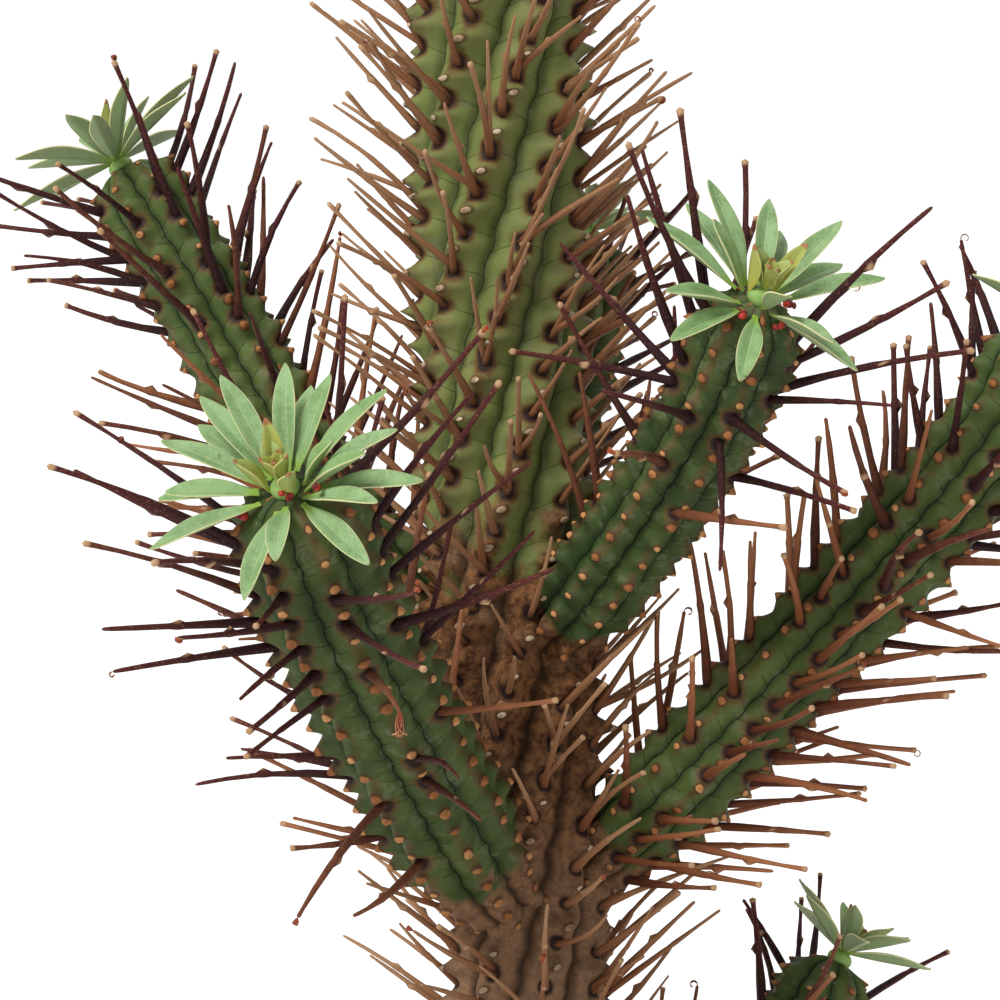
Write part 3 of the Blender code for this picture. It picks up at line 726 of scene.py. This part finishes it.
def spiral_leaf(spiral, index):
    """A rosette's leaf: the first is the youngest, upright and half grown."""
    share = index / (spiral.count - 1)
    lean = spiral.inner + (spiral.outer - spiral.inner) * math.sqrt(share)
    grown = YOUNGEST_LEAF + (1 - YOUNGEST_LEAF) * min(2 * share, 1)
    return Leaf(GOLDEN_ANGLE * index, lean, spiral.size * grown)


def young_leaves(count):
    """The small upright leaves inside a leafy tip, from the middle outwards."""
    return [
        Leaf(
            GOLDEN_ANGLE * index + YOUNG_TURN, YOUNG_LEAN + YOUNG_LEAN_STEP * index,
            YOUNG_SIZE + YOUNG_SIZE_STEP * index,
        )
        for index in range(count)
    ]


def add_blade(clump, stem, axis, leaf, chance, in_bud=False):
    """Lays a leaf along its midrib's arc: a lens in section, channelled above, keeled below."""
    share, roll = unrolled(clump.points)
    across_share, top = np.cos(roll), np.sin(roll)
    bulge = np.sin(math.pi * share)
    place, ahead, out = axis.out_from_tip(math.radians(leaf.turn))
    lean = math.radians(leaf.lean)
    flatness = min(leaf.lean / LEAF_FLAT_LEAN, 1)
    ring = LEAF_RING_INNER + (LEAF_RING_OUTER - LEAF_RING_INNER) * flatness
    sunk = DOME_SHARE * stem.radius * (1 - math.sqrt(1 - (ring / stem.radius) ** 2))
    start = place + out * ring + ahead * (LEAF_LIFT - sunk)
    if in_bud:
        start = place + ahead * BUD_RADIUS

    bend = math.radians(LEAF_BEND + chance.gauss(0, BEND_SPREAD))
    angle = lean + bend * (share - 0.5)
    first = lean - bend / 2
    size = LEAF_LENGTH * leaf.size
    forwards = ahead * (np.sin(angle) - math.sin(first))[:, None]
    midrib = forwards - out * (np.cos(angle) - math.cos(first))[:, None]
    midrib = start + midrib * size / bend
    heading = ahead * np.cos(angle)[:, None] + out * np.sin(angle)[:, None]
    across = np.broadcast_to(np.cross(ahead, out), heading.shape)
    face = np.cross(heading, across)
    twist = chance.gauss(0, TWIST_SPREAD) * share[:, None]
    cos, sin = np.cos(twist), np.sin(twist)
    across, face = across * cos + face * sin, face * cos - across * sin

    youth = float(1 - smoothstep(YOUNG_UP_TO, GROWN_FROM, leaf.lean))
    outline = np.sin(math.pi * share**LEAF_WIDEST) ** LEAF_FULLNESS
    blade = outline * LEAF_WIDTH / 2 * (1 - 0.25 * youth)
    half = np.maximum(blade, LEAF_STALK_WIDTH / 2 * (1 - share))
    wave = 1 + 0.03 * np.sin(share * 9 + chance.uniform(0, 6)) * np.sign(across_share)
    width = across_share * half * wave
    rounded = np.sign(top) * np.abs(top) ** 0.75
    thick = rounded * BLADE_THICKNESS / 2 * (0.55 + 0.45 * bulge)
    near_rib = np.exp(-((width / BLADE_MIDRIB_WIDTH) ** 2)) * bulge
    thick = thick - near_rib * np.where(top > 0, BLADE_MIDRIB, BLADE_KEEL)
    channel = BLADE_CHANNEL * (1 + 0.5 * youth) * (np.abs(width) * 2 / LEAF_WIDTH)
    height = thick + (channel - BLADE_CHANNEL * 0.35) * bulge**0.5
    clump.add(
        midrib + across * width[:, None] + face * height[:, None],
        along=share, across=across_share, top=top, youth=youth, chance=chance.random(),
    )


def make_leaves(group, stem, axis, finish):
    chance = random.Random(group)
    for index, leaf in enumerate(LEAVES[group]):
        name = f"{group}_{index + 1:02d}"
        clump = round_clump(BLADE_SIDES, BLADE_RINGS)
        add_blade(clump, stem, axis, leaf, chance)
        piece(name + "_blade", clump.mesh(name + "_blade"), finish, "leaf", name)


def make_rosette(name, stem, axis, leaves, finish, *stands_for):
    """Leaves in one mesh, round the green growing point that they spring from."""
    chance = random.Random(name)
    clump = round_clump(BLADE_SIDES, BLADE_RINGS)
    place, side, front, ahead = axis.frame_at(axis.length)
    size = np.array((GROWING_POINT, GROWING_POINT, GROWING_POINT_HEIGHT))
    point = (clump.points * size) @ np.array((side, front, ahead))
    point = point + place + ahead * GROWING_POINT_HEIGHT / 4
    clump.add(point, along=0.13, across=0.5, top=1, youth=0, chance=0.5)
    for leaf in leaves:
        add_blade(clump, stem, axis, leaf, chance, in_bud=True)
    piece(name + "_blades", clump.mesh(name + "_blades"), finish, "leaf", *stands_for)


# ---------------------------------------------------------------- pot and soil


def turned(profile, steps):
    """A bmesh turned round Z from (radius, height) points, from the bottom outwards and up."""
    bm = bmesh.new()
    points = [bm.verts.new((radius, 0, height)) for radius, height in profile]
    edges = [bm.edges.new(pair) for pair in zip(points, points[1:])]
    bmesh.ops.spin(
        bm, geom=points + edges, cent=(0, 0, 0), axis=(0, 0, 1), angle=math.tau,
        steps=steps, use_merge=True, use_duplicate=False,
    )
    weld(bm)
    bmesh.ops.recalc_face_normals(bm, faces=bm.faces)
    return bm


def pot_inner_radius(height):
    share = (height - POT_FLOOR) / (POT_HEIGHT - POT_FLOOR)
    foot = POT_FOOT_RADIUS - POT_WALL
    rim = POT_RIM_RADIUS - BAND_STEP - POT_WALL
    return foot + (rim - foot) * share


def make_pot(finish):
    body_rim = POT_RIM_RADIUS - BAND_STEP
    band_foot = POT_HEIGHT - BAND_HEIGHT
    under_band = POT_FOOT_RADIUS + (body_rim - POT_FOOT_RADIUS) * band_foot / POT_HEIGHT
    bm = turned((
        (0, 0),
        (POT_FOOT_RADIUS, 0),
        (under_band, band_foot),
        (under_band + BAND_STEP, band_foot),
        (POT_RIM_RADIUS, POT_HEIGHT),
        (pot_inner_radius(POT_HEIGHT), POT_HEIGHT),
        (pot_inner_radius(POT_FLOOR), POT_FLOOR),
        (0, POT_FLOOR),
    ), POT_STEPS)
    corners = [edge for edge in bm.edges if edge.calc_face_angle(0) > POT_CORNER]
    bmesh.ops.bevel(
        bm, geom=corners, offset=POT_EDGE_RADIUS, offset_type="OFFSET", segments=4,
        profile=0.5, affect="EDGES", material=-1, clamp_overlap=True,
    )
    drills = bmesh.new()
    for index in range(DRAIN_COUNT):
        angle = math.tau * (index / DRAIN_COUNT + DRAIN_TURN)
        place = (DRAIN_CIRCLE * math.cos(angle), DRAIN_CIRCLE * math.sin(angle), POT_FLOOR / 2)
        bmesh.ops.create_cone(
            drills, cap_ends=True, segments=DRILL_SIDES, radius1=DRAIN_RADIUS,
            radius2=DRAIN_RADIUS, depth=4 * POT_FLOOR, matrix=Matrix.Translation(place),
        )
    solid = add_object("pot_solid", mesh_of("pot_solid", bm))
    drill = add_object("drain_drills", mesh_of("drain_drills", drills))
    cut = solid.modifiers.new("drain", "BOOLEAN")
    cut.operation = "DIFFERENCE"
    cut.solver = "EXACT"
    cut.object = drill
    graph = bpy.context.evaluated_depsgraph_get()
    body = bpy.data.meshes.new_from_object(solid.evaluated_get(graph))
    for helper in (solid, drill):
        bpy.data.meshes.remove(helper.data)
    body.materials.clear()
    made = piece("pot_body", body, finish, "fired_clay", "pot")
    made.data.set_sharp_from_angle(angle=POT_CORNER)


def make_soil(finish, grit_finish):
    """The soil: a crowned, crumbly top down to the pot's floor, and grit scattered over it."""
    bottom = POT_FLOOR + SOIL_GAP
    edge_height = SOIL_TOP - SOIL_EDGE_DROP
    edge = pot_inner_radius(edge_height) - SOIL_GAP
    rings = [
        (edge * (1 - share), edge_height + SOIL_EDGE_DROP * math.sin(share * math.pi / 2))
        for share in (index / SOIL_RINGS for index in range(1, SOIL_RINGS + 1))
    ]
    foot = pot_inner_radius(bottom) - SOIL_GAP
    profile = ((0, bottom), (foot, bottom), (edge, edge_height), *rings)
    mesh = mesh_of("soil_bed", turned(profile, SOIL_STEPS))
    points = read_points(mesh)
    top = points[:, 2] > edge_height - 1e-5
    inside = smoothstep(0, SOIL_SMOOTH_EDGE, edge - np.linalg.norm(points[:, :2], axis=1))
    crumbs = sum(rise * ripple(points, size, seed) for rise, size, seed in CRUMBS)
    points[:, 2] += np.where(top, crumbs * inside, 0)
    write_points(mesh, points)
    piece("soil_bed", mesh, finish, "soil", "soil")

    chance = random.Random(7)
    clump = bead_clump(1)
    for _ in range(GRIT_COUNT):
        far = edge * math.sqrt(chance.uniform(0.09, 0.93))
        turn = chance.uniform(0, math.tau)
        size = GRIT_SMALLEST + GRIT_SPREAD * chance.random() ** 2.5
        turns = np.array([[chance.gauss(0, 1) for _ in range(3)] for _ in range(3)])
        turns = np.linalg.qr(turns)[0]
        stretch = np.array([chance.uniform(0.6, 1.3) for _ in range(3)])
        height = edge_height + SOIL_EDGE_DROP * math.sin((1 - far / edge) * math.pi / 2)
        place = np.array((far * math.cos(turn), far * math.sin(turn), height + size * 0.25))
        clump.add(place + (clump.points * stretch * size) @ turns, chance=chance.random())
    grit = piece("soil_grit", clump.mesh("soil_grit"), grit_finish, "soil")
    grit.data.shade_flat()


# ---------------------------------------------------------------- finishes


def math_node(operation):
    """A method that makes one kind of Math node from a Value and whatever follows it."""
    return lambda self, *others: self.maths(operation, self, *others)


class Value:
    """An output socket, on which Python's operators build Math nodes."""

    def __init__(self, finish, socket):
        self.finish = finish
        self.socket = socket

    def maths(self, operation, *values):
        sockets = dict(enumerate(values))
        return self.finish.node("ShaderNodeMath", {"operation": operation}, sockets)

    def __rsub__(self, other):
        return self.maths("SUBTRACT", other, self)

    __add__ = __radd__ = math_node("ADD")
    __sub__ = math_node("SUBTRACT")
    __mul__ = __rmul__ = math_node("MULTIPLY")
    __truediv__ = math_node("DIVIDE")
    __pow__ = math_node("POWER")
    __abs__ = math_node("ABSOLUTE")
    __mod__ = math_node("FLOORED_MODULO")
    __gt__ = math_node("GREATER_THAN")
    floor = math_node("FLOOR")
    cos = math_node("COSINE")
    larger = math_node("MAXIMUM")

    def rise(self, low, high):
        """0 below low, 1 above high, and smooth between."""
        sockets = {"Value": self, "From Min": low, "From Max": high}
        settings = {"interpolation_type": "SMOOTHSTEP"}
        return self.finish.node("ShaderNodeMapRange", settings, sockets)


class Finish:
    """A material being made: a Principled shader and the one way that nodes are added to it."""

    def __init__(self, name, specular, others=None):
        self.material = bpy.data.materials.new(name)
        self.material.use_nodes = True
        self.tree = self.material.node_tree
        self.shader = self.tree.nodes["Principled BSDF"]
        for socket, value in {"Specular IOR Level": specular, **(others or {})}.items():
            self.shader.inputs[socket].default_value = value
        self.place = self.node("ShaderNodeTexCoord", {}, {}, 3)

    def node(self, kind, settings, sockets, output=0):
        made = self.tree.nodes.new(kind)
        for name, value in settings.items():
            setattr(made, name, value)
        self.join(made, sockets)
        return Value(self, made.outputs[output])

    def join(self, made, sockets):
        for key, value in sockets.items():
            socket = made.inputs[key]
            if isinstance(value, Value):
                self.tree.links.new(value.socket, socket)
            elif isinstance(value, tuple) and len(socket.default_value) == 4:
                socket.default_value = (*value, 1)
            else:
                socket.default_value = value

    def attributes(self, names):
        return [
            self.node("ShaderNodeAttribute", {"attribute_name": name}, {}, 2)
            for name in names.split()
        ]

    def part(self, vector, index):
        return self.node("ShaderNodeSeparateXYZ", {}, {0: vector}, index)

    def noise(self, scale, detail=4.0, roughness=0.55, where=None):
        sockets = {"Scale": scale, "Detail": detail, "Roughness": roughness}
        return self.node("ShaderNodeTexNoise", {}, {"Vector": where or self.place, **sockets})

    def mix(self, factor, first, second):
        sockets = {0: factor, 6: first, 7: second}
        return self.node("ShaderNodeMix", {"data_type": "RGBA"}, sockets, 2)

    def layers(self, colour, *layers):
        """A colour with others laid over it in turn, each by its own share."""
        for share, other in layers:
            colour = self.mix(share, colour, other)
        return colour

    def finished(self, colour, roughness, height, distance):
        sockets = {"Strength": 1.0, "Distance": distance, "Height": height}
        bump = self.node("ShaderNodeBump", {}, sockets)
        self.join(self.shader, {"Base Color": colour, "Roughness": roughness, "Normal": bump})
        return self.material


def skin_finish(name, fresh, powder, scar_colour, scar_size, flush, groove):
    """Green ribs with painted shade in the grooves and folds, a scar on each tubercle, darker
    skin round the spines, and bark.
    """
    finish = Finish(name, 0.16)
    rows = finish.node("ShaderNodeUVMap", {"uv_map": "rows"}, {})
    around, down = finish.part(rows, 0), finish.part(rows, 1)
    tone, near_spine, barked = finish.attributes("tone stain bark")
    fine = finish.noise(900, 5, 0.6)
    mottle = finish.noise(260, 5)
    broad = finish.noise(55, 3)

    left = around.floor()
    share = around - left
    below_left, below_right = (below_spine(rib, down) for rib in (left, left + 1))
    full_left, full_right = (
        0.5 + RIB_SWAY * ((below - SCAR_BELOW) * math.tau).cos()
        for below in (below_left, below_right)
    )
    edge = full_left / (full_left + full_right)
    on_right = share > edge
    across_left = share / edge
    across_right = (share - 1) / (1 - edge)
    across = (across_left + (across_right - across_left) * on_right) * 0.5
    below = below_left + (below_right - below_left) * on_right
    from_scar = centred(below - SCAR_BELOW)
    rib = left + on_right
    row = (down - FIRST_ROW - rib * RIB_STEP - SCAR_BELOW + 0.5).floor()
    place = finish.node("ShaderNodeCombineXYZ", {}, {0: rib % RIBS, 1: row})
    cell = finish.node("ShaderNodeTexWhiteNoise", {"noise_dimensions": "2D"}, {"Vector": place})

    beside = abs(across) + (mottle - 0.5) * 0.02
    # A near-black line at the bottom of each groove: painted shade in the crease.
    groove_shade_line = beside.rise(0.478, 0.494)
    groove_shade = beside.rise(0.30, 0.50)
    # A darker line along the fold that curves down from each spine's root: painted shade in the
    # crease.
    fold = abs(below + 0.05 - across * across * 0.9 + (mottle - 0.5) * 0.10)
    fold_shade_line = (1 - fold.rise(0.0, 0.035)) * abs(across).rise(0.12, 0.26)
    size = scar_size * (0.7 + 0.5 * cell)
    to_scar = ((across / size) ** 2 + (from_scar / (size * 1.35)) ** 2) ** 0.5
    to_scar = to_scar + (mottle - 0.5) * 0.8
    scar = 1 - to_scar.rise(0.80, 1.0)
    scar_rim = 1 - to_scar.rise(1.05, 1.55)
    scar_heart = 1 - to_scar.rise(0.15, 0.5)
    crest = (1 - beside.rise(0.05, 0.34)) * (1 - abs(from_scar).rise(0.10, 0.45))
    ridge = (1 - beside.rise(0.02, 0.22)) * (mottle + broad - 0.5).rise(0.38, 0.62)

    dusty = (crest * 0.55 + mottle.rise(0.45, 0.70) * 0.35) * (0.5 + 0.5 * tone)
    bloom = (mottle * 0.6 + broad * 0.4 + (fine - 0.5) * 0.3).rise(0.53, 0.64)
    blush = (near_spine + (broad - 0.5) * 0.5 + (mottle - 0.5) * 0.35).rise(0.02, 0.30)
    green = finish.layers(
        finish.mix(broad.rise(0.35, 0.65) * 0.4 + tone * 0.6, fresh[0], fresh[1]),
        (groove_shade * 0.65, fresh[2]),
        (dusty * (0.6 + 0.4 * fine), powder),
        (bloom * 0.45, (0.130, 0.175, 0.095)),
        (fold_shade_line * 0.35, fresh[2]),
        (groove_shade_line * groove, (0.004, 0.014, 0.005)),
        (blush.larger(ridge * 0.8) * flush, (0.115, 0.042, 0.015)),
    )

    bark_grain = finish.noise(420, 7, 0.68)
    bark_patch = finish.noise(95, 4)
    bark = barked * 1.25 + (bark_patch - 0.5) * 1.1 + crest * 0.22 - 0.12
    bark = bark.rise(0.42, 0.68)
    low = 1 - finish.part(finish.place, 2).rise(0.195, 0.270)
    bark_colour = finish.layers(
        finish.mix(bark_grain.rise(0.32, 0.68), (0.040, 0.015, 0.0055), (0.230, 0.102, 0.038)),
        (bark_patch.rise(0.52, 0.74) * 0.5, (0.27, 0.170, 0.095)),
        (low * 0.75, finish.mix(bark_grain, (0.15, 0.070, 0.034), (0.42, 0.27, 0.16))),
        (groove_shade * 0.75, (0.020, 0.009, 0.004)),
    )

    # Darker round each spine's root.
    stain = (near_spine + (mottle - 0.5) * 0.35).rise(0.20, 0.62)
    colour = finish.layers(
        green,
        (bark, bark_colour),
        (stain * 0.93, (0.016, 0.007, 0.008)),
        (scar_rim * 0.7, (0.075, 0.030, 0.016)),
        (scar, finish.mix((mottle * 0.5 + cell * 0.5).rise(0.30, 0.62), *scar_colour)),
        (scar_heart * fine.rise(0.45, 0.6) * 0.6, (0.16, 0.055, 0.02)),
    )

    height = fine * 0.22 + mottle * 0.30 - groove_shade_line * groove * 1.2
    height = height - fold_shade_line * 0.25 + scar * 0.45 + bark * (bark_grain * 1.7 - 0.4)
    roughness = 0.50 + 0.16 * mottle + bark * 0.25
    return finish.finished(colour, roughness, height, 0.0006)


def spine_finish(name, young, old):
    """Spines: dark when young and browner with age, with pale bracts and knobs."""
    finish = Finish(name, 0.2)
    along, age, chance, tan = finish.attributes("along age chance tan")
    grain = finish.noise(1500, 5, 0.65)
    streak = finish.noise(420, 4, 0.6)
    young_colour = finish.mix(along.rise(0.15, 0.95) * (0.4 + 0.6 * streak), *young)
    old_colour = finish.mix(along.rise(0.05, 0.9) * 0.6 + chance * 0.4, *old)
    aged = (age + (chance - 0.5) * 0.75 + (streak - 0.5) * 0.4).rise(0.30, 1.0)
    colour = finish.layers(
        finish.mix(aged, young_colour, old_colour),
        ((1 - along.rise(0.0, 0.16)) * 0.75, (0.020, 0.008, 0.007)),
        ((grain + along * 0.06).rise(0.60, 0.70) * 0.40, (0.36, 0.19, 0.08)),
        (tan.rise(0.25, 0.8), finish.mix(streak, (0.30, 0.13, 0.05), (0.62, 0.42, 0.24))),
    )
    return finish.finished(colour, 0.42 + 0.3 * grain, grain + streak * 0.6, 0.0004)


def husk_finish():
    """Dried bracts: rusty and thin, with pale edges."""
    finish = Finish("dried_bract", 0.3)
    along, edge, chance = finish.attributes("along edge chance")
    grain = finish.noise(1800, 5, 0.6)
    rust = finish.mix(chance * 0.5 + grain * 0.5, (0.34, 0.060, 0.014), (0.11, 0.022, 0.010))
    pale = (edge * 0.7 + along * 0.3 + (grain - 0.5) * 0.5).rise(0.62, 0.92)
    colour = finish.mix(pale * 0.8, rust, (0.66, 0.42, 0.22))
    return finish.finished(colour, 0.55 + 0.2 * grain, grain, 0.0002)


def bud_finish():
    """Buds: deep red, each its own tone."""
    finish = Finish("red_bud", 0.4)
    chance, = finish.attributes("chance")
    grain = finish.noise(1500, 4, 0.6)
    red = finish.mix(chance.rise(0.2, 0.8), (0.42, 0.022, 0.010), (0.13, 0.008, 0.010))
    colour = finish.mix(grain.rise(0.55, 0.75) * 0.5, red, (0.40, 0.13, 0.05))
    return finish.finished(colour, 0.40 + 0.2 * grain, grain, 0.0003)


def leaf_finish():
    """Powdery green with a pale edge and midrib, a bright base, a red point and a few spots."""
    flesh = {"Subsurface Weight": 0.12, "Subsurface Scale": 0.002}
    finish = Finish("euphorbia_leaf", 0.4, flesh)
    along, across, top, youth, chance = finish.attributes("along across top youth chance")
    across = abs(across)
    powder = finish.noise(1300, 6, 0.7)
    cloud = finish.noise(170, 3)
    freckle = finish.noise(330, 2)

    midrib = (1 - across.rise(0.03, 0.13)) * (1 - along.rise(0.70, 0.95))
    margin = across.rise(0.88, 0.965)
    colour = finish.layers(
        finish.mix(cloud.rise(0.35, 0.65), (0.150, 0.262, 0.090), (0.228, 0.368, 0.155)),
        (powder.rise(0.40, 0.68) * 0.40, (0.38, 0.50, 0.27)),
        ((1 - top.rise(-0.35, 0.10)) * (0.45 + 0.3 * chance), (0.30, 0.36, 0.19)),
        (chance.rise(0.5, 1.0) * 0.22, (0.16, 0.34, 0.05)),
        (midrib * 0.40, (0.40, 0.52, 0.24)),
        (margin * 0.92, (0.66, 0.68, 0.34)),
        ((1 - along.rise(0.03, 0.24)) * 0.85, (0.24, 0.40, 0.030)),
        (youth * (0.95 - 0.45 * along), (0.46, 0.44, 0.055)),
        ((along + youth * 0.10).rise(0.975, 1.02) * 0.8, (0.34, 0.10, 0.045)),
        (freckle.rise(0.735, 0.76) * chance.rise(0.35, 0.5) * 0.85, (0.10, 0.050, 0.018)),
    )
    height = powder * 0.5 + cloud * 0.3 + margin * 0.8 - midrib * 0.5
    return finish.finished(colour, 0.52 + 0.2 * powder, height, 0.00025)


def clay_finish():
    """Fired clay: mottled, faintly ringed from the wheel, with a pale bloom."""
    finish = Finish("fired_clay", 0.3)
    pores = finish.noise(1400, 5, 0.7)
    mottle = finish.noise(70, 6)
    patch = finish.noise(16, 4)
    height = finish.part(finish.place, 2)
    turning = {"Vector": finish.place, "Scale": (3.0, 3.0, 420.0)}
    rings = finish.noise(1.0, 3, 0.5, finish.node("ShaderNodeMapping", {}, turning))
    bloom = (patch + (mottle - 0.5) * 0.5).rise(0.52, 0.74)
    # Darker towards the foot.
    foot_dark = 1 - (height + (mottle - 0.5) * 0.02).rise(0.0, 0.018)
    colour = finish.layers(
        finish.mix(mottle.rise(0.3, 0.7), (0.43, 0.165, 0.080), (0.56, 0.255, 0.145)),
        (pores.rise(0.55, 0.75) * 0.4, (0.30, 0.105, 0.05)),
        (bloom * (1 - height.rise(0.02, 0.13) * 0.6) * 0.5, (0.72, 0.55, 0.45)),
        (foot_dark * 0.5, (0.26, 0.10, 0.055)),
    )
    bump = pores * 0.7 + mottle * 0.3 + rings * 0.7
    return finish.finished(colour, 0.82 + 0.12 * mottle, bump, 0.0004)


def soil_finish():
    """Soil: dark, crumbly and uneven."""
    finish = Finish("potting_soil", 0.2)
    crumb = finish.noise(520, 8, 0.75)
    patch = finish.noise(60, 4)
    dark = finish.mix(crumb.rise(0.35, 0.65), (0.018, 0.012, 0.008), (0.110, 0.074, 0.048))
    colour = finish.mix(patch.rise(0.45, 0.7) * 0.5, dark, (0.150, 0.105, 0.070))
    return finish.finished(colour, 0.90 + 0.08 * crumb, crumb + patch * 0.4, 0.0016)


def grit_finish():
    """Grit: pale pumice, brown bark and dark lava, each grain its own tone."""
    finish = Finish("soil_grit", 0.25)
    chance, = finish.attributes("chance")
    grain = finish.noise(1100, 6, 0.7)
    colour = finish.layers(
        finish.mix(chance.rise(0.30, 0.34), (0.055, 0.032, 0.022), (0.17, 0.085, 0.045)),
        (chance.rise(0.62, 0.66), (0.42, 0.37, 0.30)),
        (grain.rise(0.5, 0.75) * 0.5, (0.09, 0.065, 0.05)),
    )
    return finish.finished(colour, 0.88 + 0.08 * grain, grain, 0.0005)


# ---------------------------------------------------------------- the whole plant


def moved(route, start):
    return [tuple(np.add(point, start)) for point in route]


def plant():
    planted = (0, 0, SOIL_TOP)
    main_axis = Axis(moved(((0, 0, -ROOT_DEPTH), *MAIN_STEM.route), planted))
    stems = {"main_stem": (MAIN_STEM, main_axis)}
    for name, branch in BRANCHES.items():
        start = main_axis.frame_at(ROOT_DEPTH + BRANCH_HEIGHTS[name])[0]
        stems[name] = (branch, Axis(moved(branch.route, start)))

    orange_scars = ((0.52, 0.250, 0.095), (0.26, 0.095, 0.030))
    cream_scars = ((0.56, 0.44, 0.29), (0.36, 0.25, 0.15))
    # The third colour of each green is the painted shade for the grooves and folds.
    green = ((0.020, 0.038, 0.009), (0.088, 0.128, 0.030), (0.007, 0.016, 0.004))
    light_green = ((0.095, 0.128, 0.032), (0.200, 0.220, 0.062), (0.022, 0.034, 0.009))
    branch_skin = skin_finish(
        "branch_skin", green, (0.088, 0.110, 0.040), orange_scars,
        scar_size=0.105, flush=0.65, groove=0.70,
    )
    main_skin = skin_finish(
        "main_stem_skin", light_green, (0.235, 0.225, 0.090), cream_scars,
        scar_size=0.066, flush=0.85, groove=0.35,
    )
    maroon = ((0.026, 0.005, 0.006), (0.095, 0.014, 0.012))
    rusty = ((0.150, 0.036, 0.013), (0.35, 0.135, 0.055))
    straw = ((0.20, 0.066, 0.024), (0.40, 0.220, 0.110))
    branch_spines = spine_finish("branch_spines", maroon, rusty)
    main_spines = spine_finish("main_spines", maroon, straw)
    leaf_skin, husk, bud = leaf_finish(), husk_finish(), bud_finish()

    for name, (stem, axis) in stems.items():
        spines = find_spines(name, stem, axis)
        slot, skin, spine_skin = "green_stem", branch_skin, branch_spines
        if name == "main_stem":
            spines += more_spines(stem, axis, spines, [stems[branch] for branch in BRANCHES])
            slot, skin, spine_skin = "old_stem", main_skin, main_spines
        make_skin(name, stem, axis, spines, skin, slot)
        make_spines(name, axis, spines, spine_skin, slot)
        make_curls(name, spines, husk, slot)
        if name in BUDS:
            make_buds(name, axis, bud)
    for group, stem_name in LEAFY_STEM.items():
        stem, axis = stems[stem_name]
        make_leaves(group, stem, axis, leaf_skin)
        young = young_leaves(YOUNG_ON_BRANCHES)
        make_rosette(group.replace("leaf", "bud"), stem, axis, young, leaf_skin)
    for name, (stem_name, spiral) in ROSETTES.items():
        leaves = [spiral_leaf(spiral, index) for index in range(spiral.count)]
        leaves += young_leaves(YOUNG_IN_ROSETTES)
        make_rosette(name, *stems[stem_name], leaves, leaf_skin, name)
    make_pot(clay_finish())
    make_soil(soil_finish(), grit_finish())


# ---------------------------------------------------------------- studio


def make_studio():
    floor_bm = bmesh.new()
    bmesh.ops.create_grid(floor_bm, x_segments=1, y_segments=1, size=FLOOR_SIZE)
    floor = add_object("floor", mesh_of("floor", floor_bm))
    paper = Finish("floor_paper", 0.1, {"Roughness": 0.9, "Base Color": (0.93, 0.93, 0.93, 1)})
    floor.data.materials.append(paper.material)

    world = bpy.data.worlds.new("studio")
    world.use_nodes = True
    bpy.context.scene.world = world
    nodes, links = world.node_tree.nodes, world.node_tree.links
    soft, white = nodes["Background"], nodes.new("ShaderNodeBackground")
    seen, either = nodes.new("ShaderNodeLightPath"), nodes.new("ShaderNodeMixShader")
    for shade, strength in ((soft, SOFT_LIGHT), (white, WHITE_GROUND)):
        shade.inputs["Color"].default_value = (1, 1, 1, 1)
        shade.inputs["Strength"].default_value = strength
    links.new(seen.outputs["Is Camera Ray"], either.inputs[0])
    links.new(soft.outputs[0], either.inputs[1])
    links.new(white.outputs[0], either.inputs[2])
    links.new(either.outputs[0], nodes["World Output"].inputs["Surface"])

    for name, (place, spread, strength) in LAMPS.items():
        data = bpy.data.lights.new(name, "SUN")
        data.angle = math.radians(spread)
        data.energy = strength
        lamp = add_object(name, data)
        lamp.location = place
        aim = Vector(LAMPS_AIM) - lamp.location
        lamp.rotation_euler = aim.to_track_quat("-Z", "Y").to_euler()

    camera = add_object("camera", bpy.data.cameras.new("camera"))
    camera.location = CAMERA_PLACE
    camera.rotation_euler = (math.radians(CAMERA_TILT), 0, 0)
    camera.data.lens = CAMERA_LENS
    camera.data.clip_start = CAMERA_CLIP
    bpy.context.scene.camera = camera
    bpy.context.scene.view_settings.view_transform = "Standard"


plant()
make_studio()
